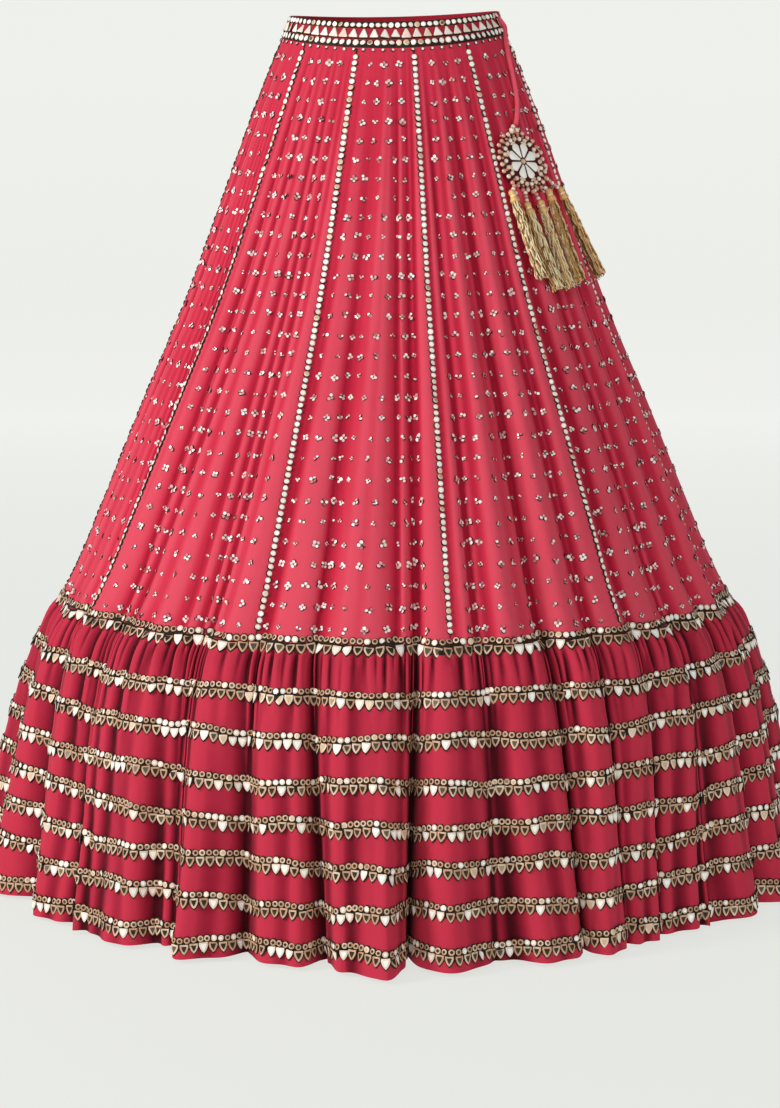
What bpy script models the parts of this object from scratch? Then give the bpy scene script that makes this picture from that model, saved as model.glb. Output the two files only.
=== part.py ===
"""A flared lehenga skirt: waistband, twelve panels, a gathered ruffle and two tied latkans.

Units are metres, +Z is up, the front faces -Y.  The origin is the middle of the waist.
A place on the cloth is given by its bearing, in degrees from the front towards +X, and by
how far down it lies.  Every wall is a loft between an outer and an inner set of points.
"""

import math

import bmesh
import bpy
import numpy as np
from mathutils import Matrix, Vector

OBJECT_NAME = "lehenga_skirt"

# Cloth and seams
CLOTH_THICKNESS = 0.0016
SEAM_GAP = 0.0003
BAND_THICKNESS = 0.0028

# Waistband: its top edge dips at the front
BAND_HEIGHT_FRONT = 0.033
BAND_HEIGHT_SIDE = 0.028
BAND_TOP_BACK = 0.014
BAND_DIP = 0.0235
BAND_DIP_POWER = 2.5
BAND_RISE_RIGHT = 0.0030
BAND_COLUMNS = 36
OPENING_BEARING = 78.0
OPENING_HALF_DEGREES = 4.0

# Heights of the tiers
SEAM_Z = -0.745
HEM_Z = -1.100

# Half width of the skirt against height, silhouette of the fullest folds
PROFILE_Z = (0.020, 0.009, -0.019, -0.051, -0.102, -0.230, -0.360, -0.491, -0.623, -0.703,
             -0.745, -0.770, -0.810, -0.863, -0.918, -0.980, -1.040, -1.100)
PROFILE_HALF_WIDTH = (0.130, 0.134, 0.1455, 0.1595, 0.180, 0.2275, 0.276, 0.3325, 0.387, 0.421,
                      0.443, 0.460, 0.480, 0.500, 0.514, 0.527, 0.541, 0.556)
WAIST_DEPTH_RATIO = 0.72
ROUND_FROM_Z = -0.62

# Columns: bearing of the seam at the waist, bearing at the ruffle
PANEL_SEAMS = (
    (-48.3, -58.6),
    (-17.9, -23.0),
    (8.5, 8.5),
    (35.8, 37.6),
    (OPENING_BEARING, 74.1),
    (103.0, 103.0),
    (132.0, 131.5),
    (160.5, 160.0),
    (189.5, 189.0),
    (218.5, 217.5),
    (247.0, 244.5),
    (280.0, 273.0),
)

# Columns: bearing at the ruffle seam, bearing at the hem, valley depth at the seam,
# valley depth at the hem, bulge of the fold after it, lean of the fold after it
FOLDS = (
    (-63.5, -57.6, 0.016, 0.056, -0.010, -0.12),
    (-51.7, -46.0, 0.015, 0.024, -0.006, -0.06),
    (-31.5, -29.4, 0.018, 0.038, 0.004, -0.16),
    (-21.3, -19.6, 0.012, 0.044, -0.012, 0.12),
    (-12.6, -8.8, 0.016, 0.044, 0.020, 0.10),
    (3.2, 1.2, 0.026, 0.060, 0.002, -0.10),
    (13.0, 12.6, 0.009, 0.036, -0.010, 0.14),
    (24.1, 25.2, 0.026, 0.040, -0.012, -0.10),
    (32.4, 31.4, 0.012, 0.034, -0.030, 0.00),
    (41.6, 37.4, 0.014, 0.044, -0.024, 0.14),
    (50.6, 45.7, 0.016, 0.034, -0.010, 0.16),
    (61.5, 57.0, 0.018, 0.050, 0.000, -0.10),
    (75.0, 74.0, 0.014, 0.044, 0.000, 0.06),
    (93.0, 94.0, 0.016, 0.048, 0.004, -0.12),
    (107.0, 107.5, 0.020, 0.052, -0.004, 0.12),
    (121.0, 121.5, 0.014, 0.040, 0.006, 0.10),
    (135.5, 135.0, 0.022, 0.056, -0.006, -0.14),
    (150.0, 151.0, 0.012, 0.044, 0.004, 0.10),
    (166.0, 165.0, 0.020, 0.050, -0.008, 0.12),
    (181.0, 182.0, 0.016, 0.058, 0.004, -0.10),
    (197.5, 197.0, 0.022, 0.046, -0.004, 0.14),
    (213.0, 214.5, 0.014, 0.054, 0.006, -0.12),
    (229.5, 229.0, 0.020, 0.044, -0.006, 0.10),
    (246.5, 247.0, 0.016, 0.052, 0.002, -0.10),
    (265.0, 264.5, 0.018, 0.048, 0.006, 0.04),
    (282.5, 283.5, 0.014, 0.046, 0.000, -0.10),
)
VALLEY_SHARPNESS = 0.62
FOLD_GROWTH_POWER = 1.15
LEAN_AT_SEAM = 0.4

# Softer waves between the folds, and the gathers under the ruffle seam
WAVE_COUNT = 62
WAVE_DEPTH_HEM = 0.0034
WAVE_DEPTH_SEAM = 0.0016
WAVE_DRIFT = 2.3
WAVE_DRIFT_COUNT = 5
WAVE_VALLEY_FADE = 0.7
GATHER_COUNT = 144
GATHER_DEPTH = 0.0030
GATHER_PEAK = 0.055

# Drawstring: one free end, from the side opening down to the medallion
CORD_DIAMETER = 0.0062
CORD_SPACING = 0.0150
CORD_RESOLUTION = 2
ROUTE_STEPS = 24
# Columns: bearing, height and stand-off of the cord's centre from the cloth
CORD_ROUTE = (
    (76.3, 0.0050, -0.0005),
    (76.3, -0.0025, 0.0018),
    (75.2, -0.0095, 0.0046),
    (71.0, -0.0190, 0.0046),
    (66.4, -0.0330, 0.0042),
    (62.6, -0.0530, 0.0040),
    (60.0, -0.0780, 0.0040),
    (56.8, -0.1050, 0.0041),
    (52.8, -0.1270, 0.0043),
    (50.6, -0.1365, 0.0044),
)

# Medallion of the latkan: a stiffened disc with petals and rings of large beads
MEDAL_BEARING = 48.8
MEDAL_Z = -0.1845
MEDAL_RADIUS = 0.0355
MEDAL_THICKNESS = 0.0030
MEDAL_SIDES = 32
REST_GAP = 0.0006
PETAL_COUNT = 8
PETAL_LENGTH = 0.0210
PETAL_WIDTH = 0.0102
PETAL_RISE = 0.0022
PETAL_CENTRE = 0.0155
HUB_RADIUS = 0.0042
RING_BEADS = 16
RING_RADIUS = 0.0305
RING_BEAD = 0.0034
RIM_BEADS = 14
RIM_RADIUS = 0.0372
RIM_BEAD = 0.0042
STRING_BEAD = 0.0030
STRING_PITCH = 0.0062
STRING_RADIUS = 0.0011
LOOP_BEADS = ((-0.0045, 0.0402), (0.0045, 0.0402))
LOOP_TOP = (0.0, 0.0448)
LOOP_BEAD = 0.0037

# Tassels: bearing and height of the head, then bearing and height of the strands' end
TASSELS = (
    (39.3, -0.2230, 42.4, -0.3290),
    (44.6, -0.2380, 47.0, -0.3430),
    (51.3, -0.2355, 51.8, -0.3415),
    (58.0, -0.2210, 58.0, -0.3340),
    (67.6, -0.2180, 76.0, -0.3290),
)
HEAD_RADIUS = 0.0046
HEAD_SIDES = 10
CAP_RADIUS = 0.0058
CAP_LENGTH = 0.0110
OUTER_STRANDS = 9
INNER_STRANDS = 4
INNER_SPREAD = 0.42
STRAND_SIDES = 4
STRAND_TOP = 0.0008
STRAND_END = 0.0015
STRAND_ROOT_SPREAD = 0.0042
STRAND_END_SPREAD = 0.0082
STRAND_FLATNESS = 0.85
STRAND_ROOT_DEPTH = 0.0030
STRAND_REST_GAP = 0.0022
STRAND_UNEVEN = 0.022
GOLDEN_ANGLE = 2.4

# Mesh counts
RUFFLE_COLUMNS = 2 * GATHER_COUNT
RUFFLE_WIDTHS = 6
RUFFLE_ROWS = (0.0, 0.055, 0.17, 0.45, 1.0)
PANEL_COLUMNS = 12
PANEL_ROWS = (0.0, 0.14, 0.34, 0.58, 0.80, 1.0)
BAND_ROWS = (0.0, 0.5, 1.0)

FULL_TURN = 360.0
TINY_ANGLE = 0.02
TINY_DROP = 0.002
MERGE_DISTANCE = 0.00001


def closed_table(first, second):
    """Two columns of bearings, repeated a turn before and after so that they wrap."""
    low = [value - FULL_TURN for value in first] + list(first)
    low += [value + FULL_TURN for value in first]
    high = [value - FULL_TURN for value in second] + list(second)
    high += [value + FULL_TURN for value in second]
    return np.array(low), np.array(high)


def wrapped_column(values):
    """A column of sizes, repeated like the bearings of closed_table."""
    return np.array(list(values) * 3)


WAIST_SEAMS, RUFFLE_SEAMS = closed_table([row[0] for row in PANEL_SEAMS],
                                         [row[1] for row in PANEL_SEAMS])
FOLD_SEAMS, FOLD_HEMS = closed_table([row[0] for row in FOLDS], [row[1] for row in FOLDS])
DEPTH_SEAM = wrapped_column([row[2] for row in FOLDS])
DEPTH_HEM = wrapped_column([row[3] for row in FOLDS])
FOLD_BULGE = wrapped_column([row[4] for row in FOLDS])
FOLD_LEAN = wrapped_column([row[5] for row in FOLDS])


def half_width(z):
    """Half width of the skirt at a height."""
    return np.interp(-np.asarray(z), [-value for value in PROFILE_Z], PROFILE_HALF_WIDTH)


def half_depth(z):
    """Half depth: an oval at the waist that grows round by the ruffle."""
    share = np.clip(np.asarray(z) / ROUND_FROM_Z, 0.0, 1.0)
    return half_width(z) * (WAIST_DEPTH_RATIO + (1.0 - WAIST_DEPTH_RATIO) * share)


def band_top(bearing):
    """Height of the waistband's top edge, lowest at the front."""
    front = (1.0 + np.cos(np.radians(bearing))) / 2.0
    rise = BAND_RISE_RIGHT * np.sin(np.radians(bearing))
    return BAND_TOP_BACK - BAND_DIP * front ** BAND_DIP_POWER + rise


def band_height(bearing):
    """Height of the waistband, a little less at the sides."""
    side = np.sin(np.radians(bearing)) ** 2
    return BAND_HEIGHT_FRONT + (BAND_HEIGHT_SIDE - BAND_HEIGHT_FRONT) * side


def oval_point(bearing, z, out):
    """A point on the oval at a height, moved outward along the oval's own normal."""
    angle = np.radians(bearing)
    wide = half_width(z)
    deep = half_depth(z)
    normal_x = deep * np.sin(angle)
    normal_y = -wide * np.cos(angle)
    length = np.hypot(normal_x, normal_y)
    x = wide * np.sin(angle) + normal_x / length * out
    y = -deep * np.cos(angle) + normal_y / length * out
    return np.stack([x, y, z + 0.0 * x], axis=-1)


def fold_shape(column, ruffle_share, growth):
    """Outward step and turn of the cloth at a column, from the table of folds.

    growth is 0 on flat cloth and 1 where a fold has its full depth; ruffle_share runs
    from 0 at the ruffle seam to 1 at the hem.
    """
    index = np.searchsorted(FOLD_SEAMS, column, side="right") - 1
    start = FOLD_SEAMS[index]
    width = FOLD_SEAMS[index + 1] - start
    phase = 2.0 * math.pi * (column - start) / width
    nearest = np.where(phase > math.pi, index + 1, index)
    depth = DEPTH_SEAM[nearest] + (DEPTH_HEM[nearest] - DEPTH_SEAM[nearest]) * ruffle_share
    valley = (1.0 + np.cos(phase)) / 2.0
    out = -depth * growth * valley + FOLD_BULGE[index] * ruffle_share * (1.0 - valley)
    turn = -VALLEY_SHARPNESS / (2.0 * math.pi) * np.sin(phase)
    lean = FOLD_LEAN[index] * (LEAN_AT_SEAM + (1.0 - LEAN_AT_SEAM) * ruffle_share)
    turn = turn + lean * (1.0 - valley)
    drift = WAVE_DRIFT * np.sin(np.radians(column * WAVE_DRIFT_COUNT))
    wave = np.sin(np.radians(column * WAVE_COUNT) + drift)
    wave_depth = WAVE_DEPTH_SEAM + (WAVE_DEPTH_HEM - WAVE_DEPTH_SEAM) * ruffle_share
    out = out + wave * wave_depth * growth * (1.0 - WAVE_VALLEY_FADE * valley)
    return out, turn * width * growth


def panel_point(column, share, out=0.0):
    """A point of the panels' outer face: share runs from 0 under the band to 1 at the ruffle."""
    column = np.asarray(column, dtype=float)
    waist_bearing = np.interp(column, RUFFLE_SEAMS, WAIST_SEAMS)
    top = band_top(waist_bearing) - band_height(waist_bearing) - SEAM_GAP
    z = top + (SEAM_Z - top) * share
    step, turn = fold_shape(column, 0.0, share ** FOLD_GROWTH_POWER)
    bearing = waist_bearing + (column - waist_bearing) * share + turn
    return oval_point(bearing, z, step + out)


def ruffle_point(column, share, gather, out=0.0):
    """A point of the ruffle's outer face: share runs from 0 at its seam to 1 at the hem."""
    column = np.asarray(column, dtype=float)
    hem_bearing = np.interp(column, FOLD_SEAMS, FOLD_HEMS)
    z = SEAM_Z - SEAM_GAP + (HEM_Z - SEAM_Z + SEAM_GAP) * share
    step, turn = fold_shape(column, share, 1.0)
    fullness = share / GATHER_PEAK * np.exp(1.0 - share / GATHER_PEAK)
    step = step + gather * GATHER_DEPTH * fullness
    bearing = column + (hem_bearing - column) * share + turn
    return oval_point(bearing, z, step + out)


def band_point(bearing, share, out=0.0):
    """A point of the waistband's outer face: share runs from 0 at the top edge to 1."""
    bearing = np.asarray(bearing, dtype=float)
    return oval_point(bearing, band_top(bearing) - band_height(bearing) * share, out)


def closed_wall(name, outer, inner, material):
    """One closed body between an outer and an inner grid of points, rows by columns."""
    rows, columns = outer.shape[:2]
    mesh = bmesh.new()
    outer_verts = [[mesh.verts.new(point) for point in row] for row in outer]
    inner_verts = [[mesh.verts.new(point) for point in row] for row in inner]
    for r in range(rows - 1):
        for c in range(columns - 1):
            mesh.faces.new((outer_verts[r][c], outer_verts[r + 1][c],
                            outer_verts[r + 1][c + 1], outer_verts[r][c + 1]))
            mesh.faces.new((inner_verts[r][c], inner_verts[r][c + 1],
                            inner_verts[r + 1][c + 1], inner_verts[r + 1][c]))
    for c in range(columns - 1):
        for r, step in ((0, 0), (rows - 1, 1)):
            ring = [outer_verts[r][c], outer_verts[r][c + 1],
                    inner_verts[r][c + 1], inner_verts[r][c]]
            mesh.faces.new(ring if step == 0 else ring[::-1])
    for r in range(rows - 1):
        for c, step in ((0, 0), (columns - 1, 1)):
            ring = [outer_verts[r][c], inner_verts[r][c],
                    inner_verts[r + 1][c], outer_verts[r + 1][c]]
            mesh.faces.new(ring if step == 0 else ring[::-1])
    bmesh.ops.recalc_face_normals(mesh, faces=mesh.faces)
    return object_from_bmesh(name, mesh, material)


def object_from_bmesh(name, mesh, material):
    """A named object in the part's collection, made from a bmesh."""
    data = bpy.data.meshes.new(name)
    mesh.to_mesh(data)
    mesh.free()
    data.materials.append(material)
    item = bpy.data.objects.new(name, data)
    bpy.data.collections[OBJECT_NAME].objects.link(item)
    return item


def make_material(name, colour, roughness, metallic=0.0):
    """A Principled material in a plain colour."""
    material = bpy.data.materials.new(name)
    material.use_nodes = True
    shader = material.node_tree.nodes["Principled BSDF"]
    shader.inputs["Base Color"].default_value = (*colour, 1.0)
    shader.inputs["Roughness"].default_value = roughness
    shader.inputs["Metallic"].default_value = metallic
    material.diffuse_color = (*colour, 1.0)
    return material


def wall_from_face(name, face, columns, thickness, material):
    """A wall under an outer face: face(columns) gives rows by columns of outer points.

    The level normals are read a little to each side of every column, so neighbours that
    share a seam agree on them and stay one seam gap apart.
    """
    outer = face(columns)
    along = face(columns + TINY_ANGLE) - face(columns - TINY_ANGLE)
    normal = np.stack([along[..., 1], -along[..., 0], 0.0 * along[..., 0]], axis=-1)
    normal /= np.linalg.norm(normal, axis=-1, keepdims=True)
    inward = -normal if np.sum(normal * outer) > 0.0 else normal
    inner = outer + inward * thickness
    tangent = along / np.linalg.norm(along, axis=-1, keepdims=True)
    for grid in (outer, inner):
        grid[:, 0, :2] += tangent[:, 0, :2] * SEAM_GAP / 2.0
        grid[:, -1, :2] -= tangent[:, -1, :2] * SEAM_GAP / 2.0
    return closed_wall(name, outer, inner, material)


def build_waistband(material):
    """The band in two lengths, parted at the side opening and at the other side seam."""
    far_side = OPENING_BEARING - FULL_TURN / 2.0
    spans = (
        ("waistband_front", far_side, OPENING_BEARING - OPENING_HALF_DEGREES),
        ("waistband_back", OPENING_BEARING + OPENING_HALF_DEGREES, far_side + FULL_TURN),
    )
    rows = np.array(BAND_ROWS)[:, None]
    for name, start, end in spans:
        columns = np.linspace(start, end, BAND_COLUMNS + 1)
        wall_from_face(name, lambda c: band_point(c[None, :], rows), columns,
                       BAND_THICKNESS, material)


def build_panels(material):
    """Twelve flared panels from the waistband to the ruffle."""
    bounds = [row[1] for row in PANEL_SEAMS] + [PANEL_SEAMS[0][1] + FULL_TURN]
    rows = np.array(PANEL_ROWS)[:, None]
    for number, (start, end) in enumerate(zip(bounds[:-1], bounds[1:]), start=1):
        columns = np.linspace(start, end, PANEL_COLUMNS + 1)
        wall_from_face(f"panel_{number:02d}", lambda c: panel_point(c[None, :], rows), columns,
                       CLOTH_THICKNESS, material)


def build_ruffle(material):
    """The gathered tier in widths of cloth, joined in the valleys of folds."""
    rows = np.array(RUFFLE_ROWS)[:, None]
    per_width = RUFFLE_COLUMNS // RUFFLE_WIDTHS
    spacing = FULL_TURN / RUFFLE_COLUMNS
    first = FOLDS[0][0]
    for number in range(RUFFLE_WIDTHS):
        steps = np.arange(number * per_width, (number + 1) * per_width + 1)
        gather = np.where(steps % 2 == 0, -1.0, 1.0)[None, :]
        columns = first + steps * spacing
        wall_from_face(f"ruffle_width_{number + 1}",
                       lambda c: ruffle_point(c[None, :], rows, gather), columns,
                       CLOTH_THICKNESS, material)


def surface_frame(bearing, z):
    """A place on the smooth skirt: its point, and the ways round, down and outward."""
    place = Vector(oval_point(bearing, z, 0.0))
    down = (Vector(oval_point(bearing, z - TINY_DROP, 0.0)) - place).normalized()
    beside = (Vector(oval_point(bearing + TINY_ANGLE, z, 0.0)) - place).normalized()
    outward = down.cross(beside).normalized()
    return place, beside, down, outward


def frame_matrix(place, across, up, outward):
    """A matrix whose X, Y and Z are the ways across, up and outward."""
    turn = Matrix((across, up, outward)).transposed()
    return Matrix.Translation(place) @ turn.to_4x4()


def smooth_route(rows, spacing):
    """Points at an even spacing on a smooth curve through rows of bearing, height, stand-off."""
    guide = [Vector(oval_point(*row)) for row in rows]
    ends = [guide[0] * 2.0 - guide[1]] + guide + [guide[-1] * 2.0 - guide[-2]]
    fine = []
    for before, start, end, after in zip(ends[:-3], ends[1:-2], ends[2:-1], ends[3:]):
        for step in range(ROUTE_STEPS):
            t = step / ROUTE_STEPS
            fine.append(0.5 * (2.0 * start + (end - before) * t
                               + (2.0 * before - 5.0 * start + 4.0 * end - after) * t ** 2
                               + (3.0 * start - before - 3.0 * end + after) * t ** 3))
    fine.append(guide[-1])
    fine = np.array(fine)
    run = np.concatenate([[0.0], np.cumsum(np.linalg.norm(np.diff(fine, axis=0), axis=1))])
    count = max(2, round(run[-1] / spacing))
    stops = np.linspace(0.0, run[-1], count + 1)
    return np.stack([np.interp(stops, run, fine[:, axis]) for axis in range(3)], axis=-1)


def build_drawstring(material):
    """The cord's free end, from inside the opening down to the medallion's loops."""
    points = smooth_route(CORD_ROUTE, CORD_SPACING)
    curve = bpy.data.curves.new("drawstring", "CURVE")
    curve.dimensions = "3D"
    curve.bevel_depth = CORD_DIAMETER / 2.0
    curve.bevel_resolution = CORD_RESOLUTION
    curve.use_fill_caps = True
    spline = curve.splines.new("POLY")
    spline.points.add(len(points) - 1)
    spline.points.foreach_set("co", np.append(points, np.ones((len(points), 1)), axis=1).ravel())
    curve.materials.append(material)
    item = bpy.data.objects.new("drawstring", curve)
    bpy.data.collections[OBJECT_NAME].objects.link(item)


def add_ball(mesh, place, radii, turn=None, segments=6, rings=4):
    """A ball or a flattened ball, turned about its own centre."""
    matrix = Matrix.Translation(place)
    if turn is not None:
        matrix = matrix @ turn
    matrix = matrix @ Matrix.Diagonal((*radii, 1.0))
    bmesh.ops.create_uvsphere(mesh, u_segments=segments, v_segments=rings, radius=1.0,
                              matrix=matrix)


def cutter_object(name, mesh, matrix):
    """A hidden operand of a Boolean modifier."""
    data = bpy.data.meshes.new(name)
    mesh.to_mesh(data)
    mesh.free()
    item = bpy.data.objects.new(name, data)
    item.matrix_world = matrix
    item.hide_render = True
    item.display_type = "WIRE"
    bpy.data.collections[OBJECT_NAME + "_cutters"].objects.link(item)
    return item


def fuse(item, other):
    """Join another object's shapes to this one."""
    modifier = item.modifiers.new("join_" + other.name, "BOOLEAN")
    modifier.operation = "UNION"
    modifier.solver = "EXACT"
    modifier.object = other


def head_place(row):
    """The middle of a tassel's head ball, resting on the cloth."""
    return Vector(oval_point(row[0], row[1], CAP_RADIUS + REST_GAP))


def build_medallion(material):
    """The medallion: disc, petals, rings of beads, top loops and the strings to the tassels."""
    place, beside, down, outward = surface_frame(MEDAL_BEARING, MEDAL_Z)
    centre = place + outward * (REST_GAP + MEDAL_THICKNESS / 2.0)
    matrix = frame_matrix(centre, beside, -down, outward)
    disc = bmesh.new()
    bmesh.ops.create_cone(disc, cap_ends=True, segments=MEDAL_SIDES, radius1=MEDAL_RADIUS,
                          radius2=MEDAL_RADIUS, depth=MEDAL_THICKNESS)
    item = object_from_bmesh("medallion", disc, material)
    item.matrix_world = matrix

    raised = bmesh.new()
    top = MEDAL_THICKNESS / 2.0
    add_ball(raised, (0.0, 0.0, top), (HUB_RADIUS, HUB_RADIUS, HUB_RADIUS))
    for index in range(PETAL_COUNT):
        angle = math.tau * index / PETAL_COUNT
        spot = (PETAL_CENTRE * math.cos(angle), PETAL_CENTRE * math.sin(angle), top)
        add_ball(raised, spot, (PETAL_LENGTH / 2.0, PETAL_WIDTH / 2.0, PETAL_RISE),
                 Matrix.Rotation(angle, 4, "Z"))
    for index in range(RING_BEADS):
        angle = math.tau * index / RING_BEADS
        add_ball(raised, (RING_RADIUS * math.cos(angle), RING_RADIUS * math.sin(angle), top),
                 (RING_BEAD, RING_BEAD, RING_BEAD), rings=3)
    fuse(item, cutter_object("medallion_raised", raised, matrix))

    rim = bmesh.new()
    for index in range(RIM_BEADS):
        angle = math.tau * (index + 0.5) / RIM_BEADS
        add_ball(rim, (RIM_RADIUS * math.cos(angle), RIM_RADIUS * math.sin(angle), top),
                 (RIM_BEAD, RIM_BEAD, RIM_BEAD * 0.75), rings=3)
    fuse(item, cutter_object("medallion_rim", rim, matrix))

    loops = bmesh.new()
    for x, y in LOOP_BEADS:
        add_ball(loops, (x, y, 0.0), (LOOP_BEAD, LOOP_BEAD, MEDAL_THICKNESS / 2.0))
    fuse(item, cutter_object("medallion_loops", loops, matrix))
    loop_top = bmesh.new()
    add_ball(loop_top, (*LOOP_TOP, 0.0), (LOOP_BEAD, LOOP_BEAD, LOOP_BEAD / 2.0))
    fuse(item, cutter_object("medallion_loop_top", loop_top, matrix))

    cores = bmesh.new()
    beads = bmesh.new()
    for row in TASSELS:
        head = head_place(row)
        way = matrix.inverted() @ head
        way.z = 0.0
        rim_point = matrix @ (way.normalized() * (MEDAL_RADIUS - STRING_RADIUS * 2.0))
        run = head - rim_point
        length = run.length - HEAD_RADIUS - REST_GAP
        axis = run.normalized()
        turn = axis.to_track_quat("Z", "Y").to_matrix().to_4x4()
        bmesh.ops.create_cone(cores, cap_ends=True, segments=6, radius1=STRING_RADIUS,
                              radius2=STRING_RADIUS, depth=length,
                              matrix=Matrix.Translation(rim_point + axis * length / 2.0) @ turn)
        reach = length - STRING_BEAD
        while reach > 2.0 * STRING_BEAD + RIM_BEAD:
            add_ball(beads, rim_point + axis * reach, (STRING_BEAD,) * 3, turn, rings=3)
            reach -= STRING_PITCH
    still = Matrix.Identity(4)
    fuse(item, cutter_object("medallion_strings", cores, still))
    fuse(item, cutter_object("medallion_string_beads", beads, still))


def build_tassel(number, row, material):
    """One tassel: a turned head with tapered strands fused into its cap."""
    head = head_place(row)
    lower = Vector(oval_point(row[2], row[3],
                              STRAND_END_SPREAD * STRAND_FLATNESS + STRAND_END
                              + STRAND_REST_GAP))
    run = lower - head
    axis = run.normalized()
    across = surface_frame(row[0], row[1])[3].cross(axis).normalized()
    outward = axis.cross(across)
    matrix = frame_matrix(head, across, outward, axis)

    profile = ((0.0, CAP_LENGTH), (CAP_RADIUS * 0.90, CAP_LENGTH),
               (CAP_RADIUS, CAP_LENGTH * 0.85), (CAP_RADIUS * 0.80, HEAD_RADIUS * 1.15),
               (HEAD_RADIUS * 0.74, HEAD_RADIUS * 0.72), (HEAD_RADIUS, 0.0),
               (HEAD_RADIUS * 0.72, -HEAD_RADIUS * 0.70), (0.0, -HEAD_RADIUS))
    mesh = bmesh.new()
    verts = [mesh.verts.new((r, 0.0, z)) for r, z in profile]
    for pair in zip(verts[:-1], verts[1:]):
        mesh.edges.new(pair)
    item = object_from_bmesh(f"tassel_{number}", mesh, material)
    item.matrix_world = matrix
    screw = item.modifiers.new("turned", "SCREW")
    screw.steps = HEAD_SIDES
    screw.render_steps = HEAD_SIDES
    screw.use_merge_vertices = True
    screw.merge_threshold = MERGE_DISTANCE

    strands = bmesh.new()
    rings = [(index, OUTER_STRANDS, 1.0) for index in range(OUTER_STRANDS)]
    rings += [(index + 0.5, INNER_STRANDS, INNER_SPREAD) for index in range(INNER_STRANDS)]
    for index, (turn_index, ring, share) in enumerate(rings):
        angle = math.tau * turn_index / ring
        way = Vector((math.cos(angle), math.sin(angle) * STRAND_FLATNESS, 0.0)) * share
        start = way * STRAND_ROOT_SPREAD + Vector((0, 0, CAP_LENGTH - STRAND_ROOT_DEPTH))
        shorter = STRAND_UNEVEN * (1.0 + math.sin(GOLDEN_ANGLE * index + number))
        tail = run.length * (1.0 - shorter)
        end = way * STRAND_END_SPREAD + Vector((0, 0, tail))
        line = end - start
        turn = line.to_track_quat("Z", "Y").to_matrix().to_4x4()
        bmesh.ops.create_cone(strands, cap_ends=True, segments=STRAND_SIDES, radius1=STRAND_TOP,
                              radius2=STRAND_END, depth=line.length,
                              matrix=Matrix.Translation(start + line / 2.0) @ turn)
    fuse(item, cutter_object(f"tassel_{number}_strands", strands, matrix))


def clear_scene():
    """Remove what the file opens with, and make the part's collections."""
    for item in list(bpy.data.objects):
        bpy.data.objects.remove(item)
    for name in (OBJECT_NAME, OBJECT_NAME + "_cutters"):
        bpy.context.scene.collection.children.link(bpy.data.collections.new(name))


def main():
    """Build every piece of the skirt."""
    clear_scene()
    cloth = make_material("rose_georgette", (0.60, 0.045, 0.085), 0.75)
    band = make_material("worked_band", (0.42, 0.10, 0.09), 0.6)
    cord = make_material("rose_cord", (0.52, 0.04, 0.08), 0.7)
    beads = make_material("mirror_beads", (0.75, 0.62, 0.45), 0.3, 0.6)
    gold = make_material("gold_thread", (0.50, 0.34, 0.16), 0.45, 0.5)
    build_waistband(band)
    build_panels(cloth)
    build_ruffle(cloth)
    build_drawstring(cord)
    build_medallion(beads)
    for number, row in enumerate(TASSELS, start=1):
        build_tassel(number, row, gold)


main()
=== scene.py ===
"""Dresses the lehenga skirt: folded georgette, gathered ruffle, mirror work and latkan.

The skirt's cloth follows the same tables of profile, seams and folds as its solids, drawn
finer.  Mirrors, thread and sequins are small meshes stamped along rows on that cloth.
A place on the cloth is a bearing from the front towards +X and a share of the way down.
"""
import logging
import math
from dataclasses import dataclass, field
from enum import Enum
from typing import Callable, Sequence

import bpy
import numpy as np
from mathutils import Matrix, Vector


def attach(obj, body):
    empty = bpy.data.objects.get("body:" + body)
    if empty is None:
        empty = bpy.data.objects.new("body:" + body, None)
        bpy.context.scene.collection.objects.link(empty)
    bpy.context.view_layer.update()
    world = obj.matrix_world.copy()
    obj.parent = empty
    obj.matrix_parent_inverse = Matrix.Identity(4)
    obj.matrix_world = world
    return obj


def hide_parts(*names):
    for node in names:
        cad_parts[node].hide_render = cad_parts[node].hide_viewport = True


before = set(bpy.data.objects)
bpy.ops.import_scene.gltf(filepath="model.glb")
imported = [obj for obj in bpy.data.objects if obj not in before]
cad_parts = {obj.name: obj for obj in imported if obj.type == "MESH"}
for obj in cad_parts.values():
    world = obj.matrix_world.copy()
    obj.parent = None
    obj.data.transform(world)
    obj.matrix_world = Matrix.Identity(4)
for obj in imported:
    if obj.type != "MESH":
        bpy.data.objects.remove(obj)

LOG = logging.getLogger("lehenga")
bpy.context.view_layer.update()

Array = np.ndarray
Surface = Callable[..., Array]

BODY = "root"
FULL_TURN = 360.0
SEED = 20417


class Slot(Enum):
    """Material slots of the record, by name; each length of cloth is handed one, which it does not read."""

    WAISTBAND = "waistband"
    PANEL = "panel_cloth"
    RUFFLE = "ruffle_cloth"
    CORD = "cord"
    BEADS = "mirror_beads"
    GOLD = "gold_thread"


class Layer(Enum):
    """Which material of a worked piece a face takes."""

    THREAD = 0
    RIM = 1
    GLASS = 2
    SEQUIN = 3


# Numbers that several pieces share


def smooth_table(x: Array, places: Sequence[float], values: Sequence[float]) -> Array:
    """Read a table with a smooth curve through its rows.

    Formula: between two rows, the cubic that has the rows' values and the slopes of the
    table's own central differences.

    Args:
        x: Where to read.
        places: The rows' places, rising.
        values: The rows' values.

    Returns:
        The values at x.
    """
    at = np.asarray(places, dtype=float)
    height = np.asarray(values, dtype=float)
    slope = np.gradient(height, at)
    x = np.clip(x, at[0], at[-1])
    i = np.clip(np.searchsorted(at, x, side="right") - 1, 0, len(at) - 2)
    step = at[i + 1] - at[i]
    t = (x - at[i]) / step
    rise = t * t * (3.0 - 2.0 * t)
    start = t * (1.0 - t) ** 2
    end = t * t * (t - 1.0)
    return height[i] + (height[i + 1] - height[i]) * rise + step * (slope[i] * start + slope[i + 1] * end)


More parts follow.
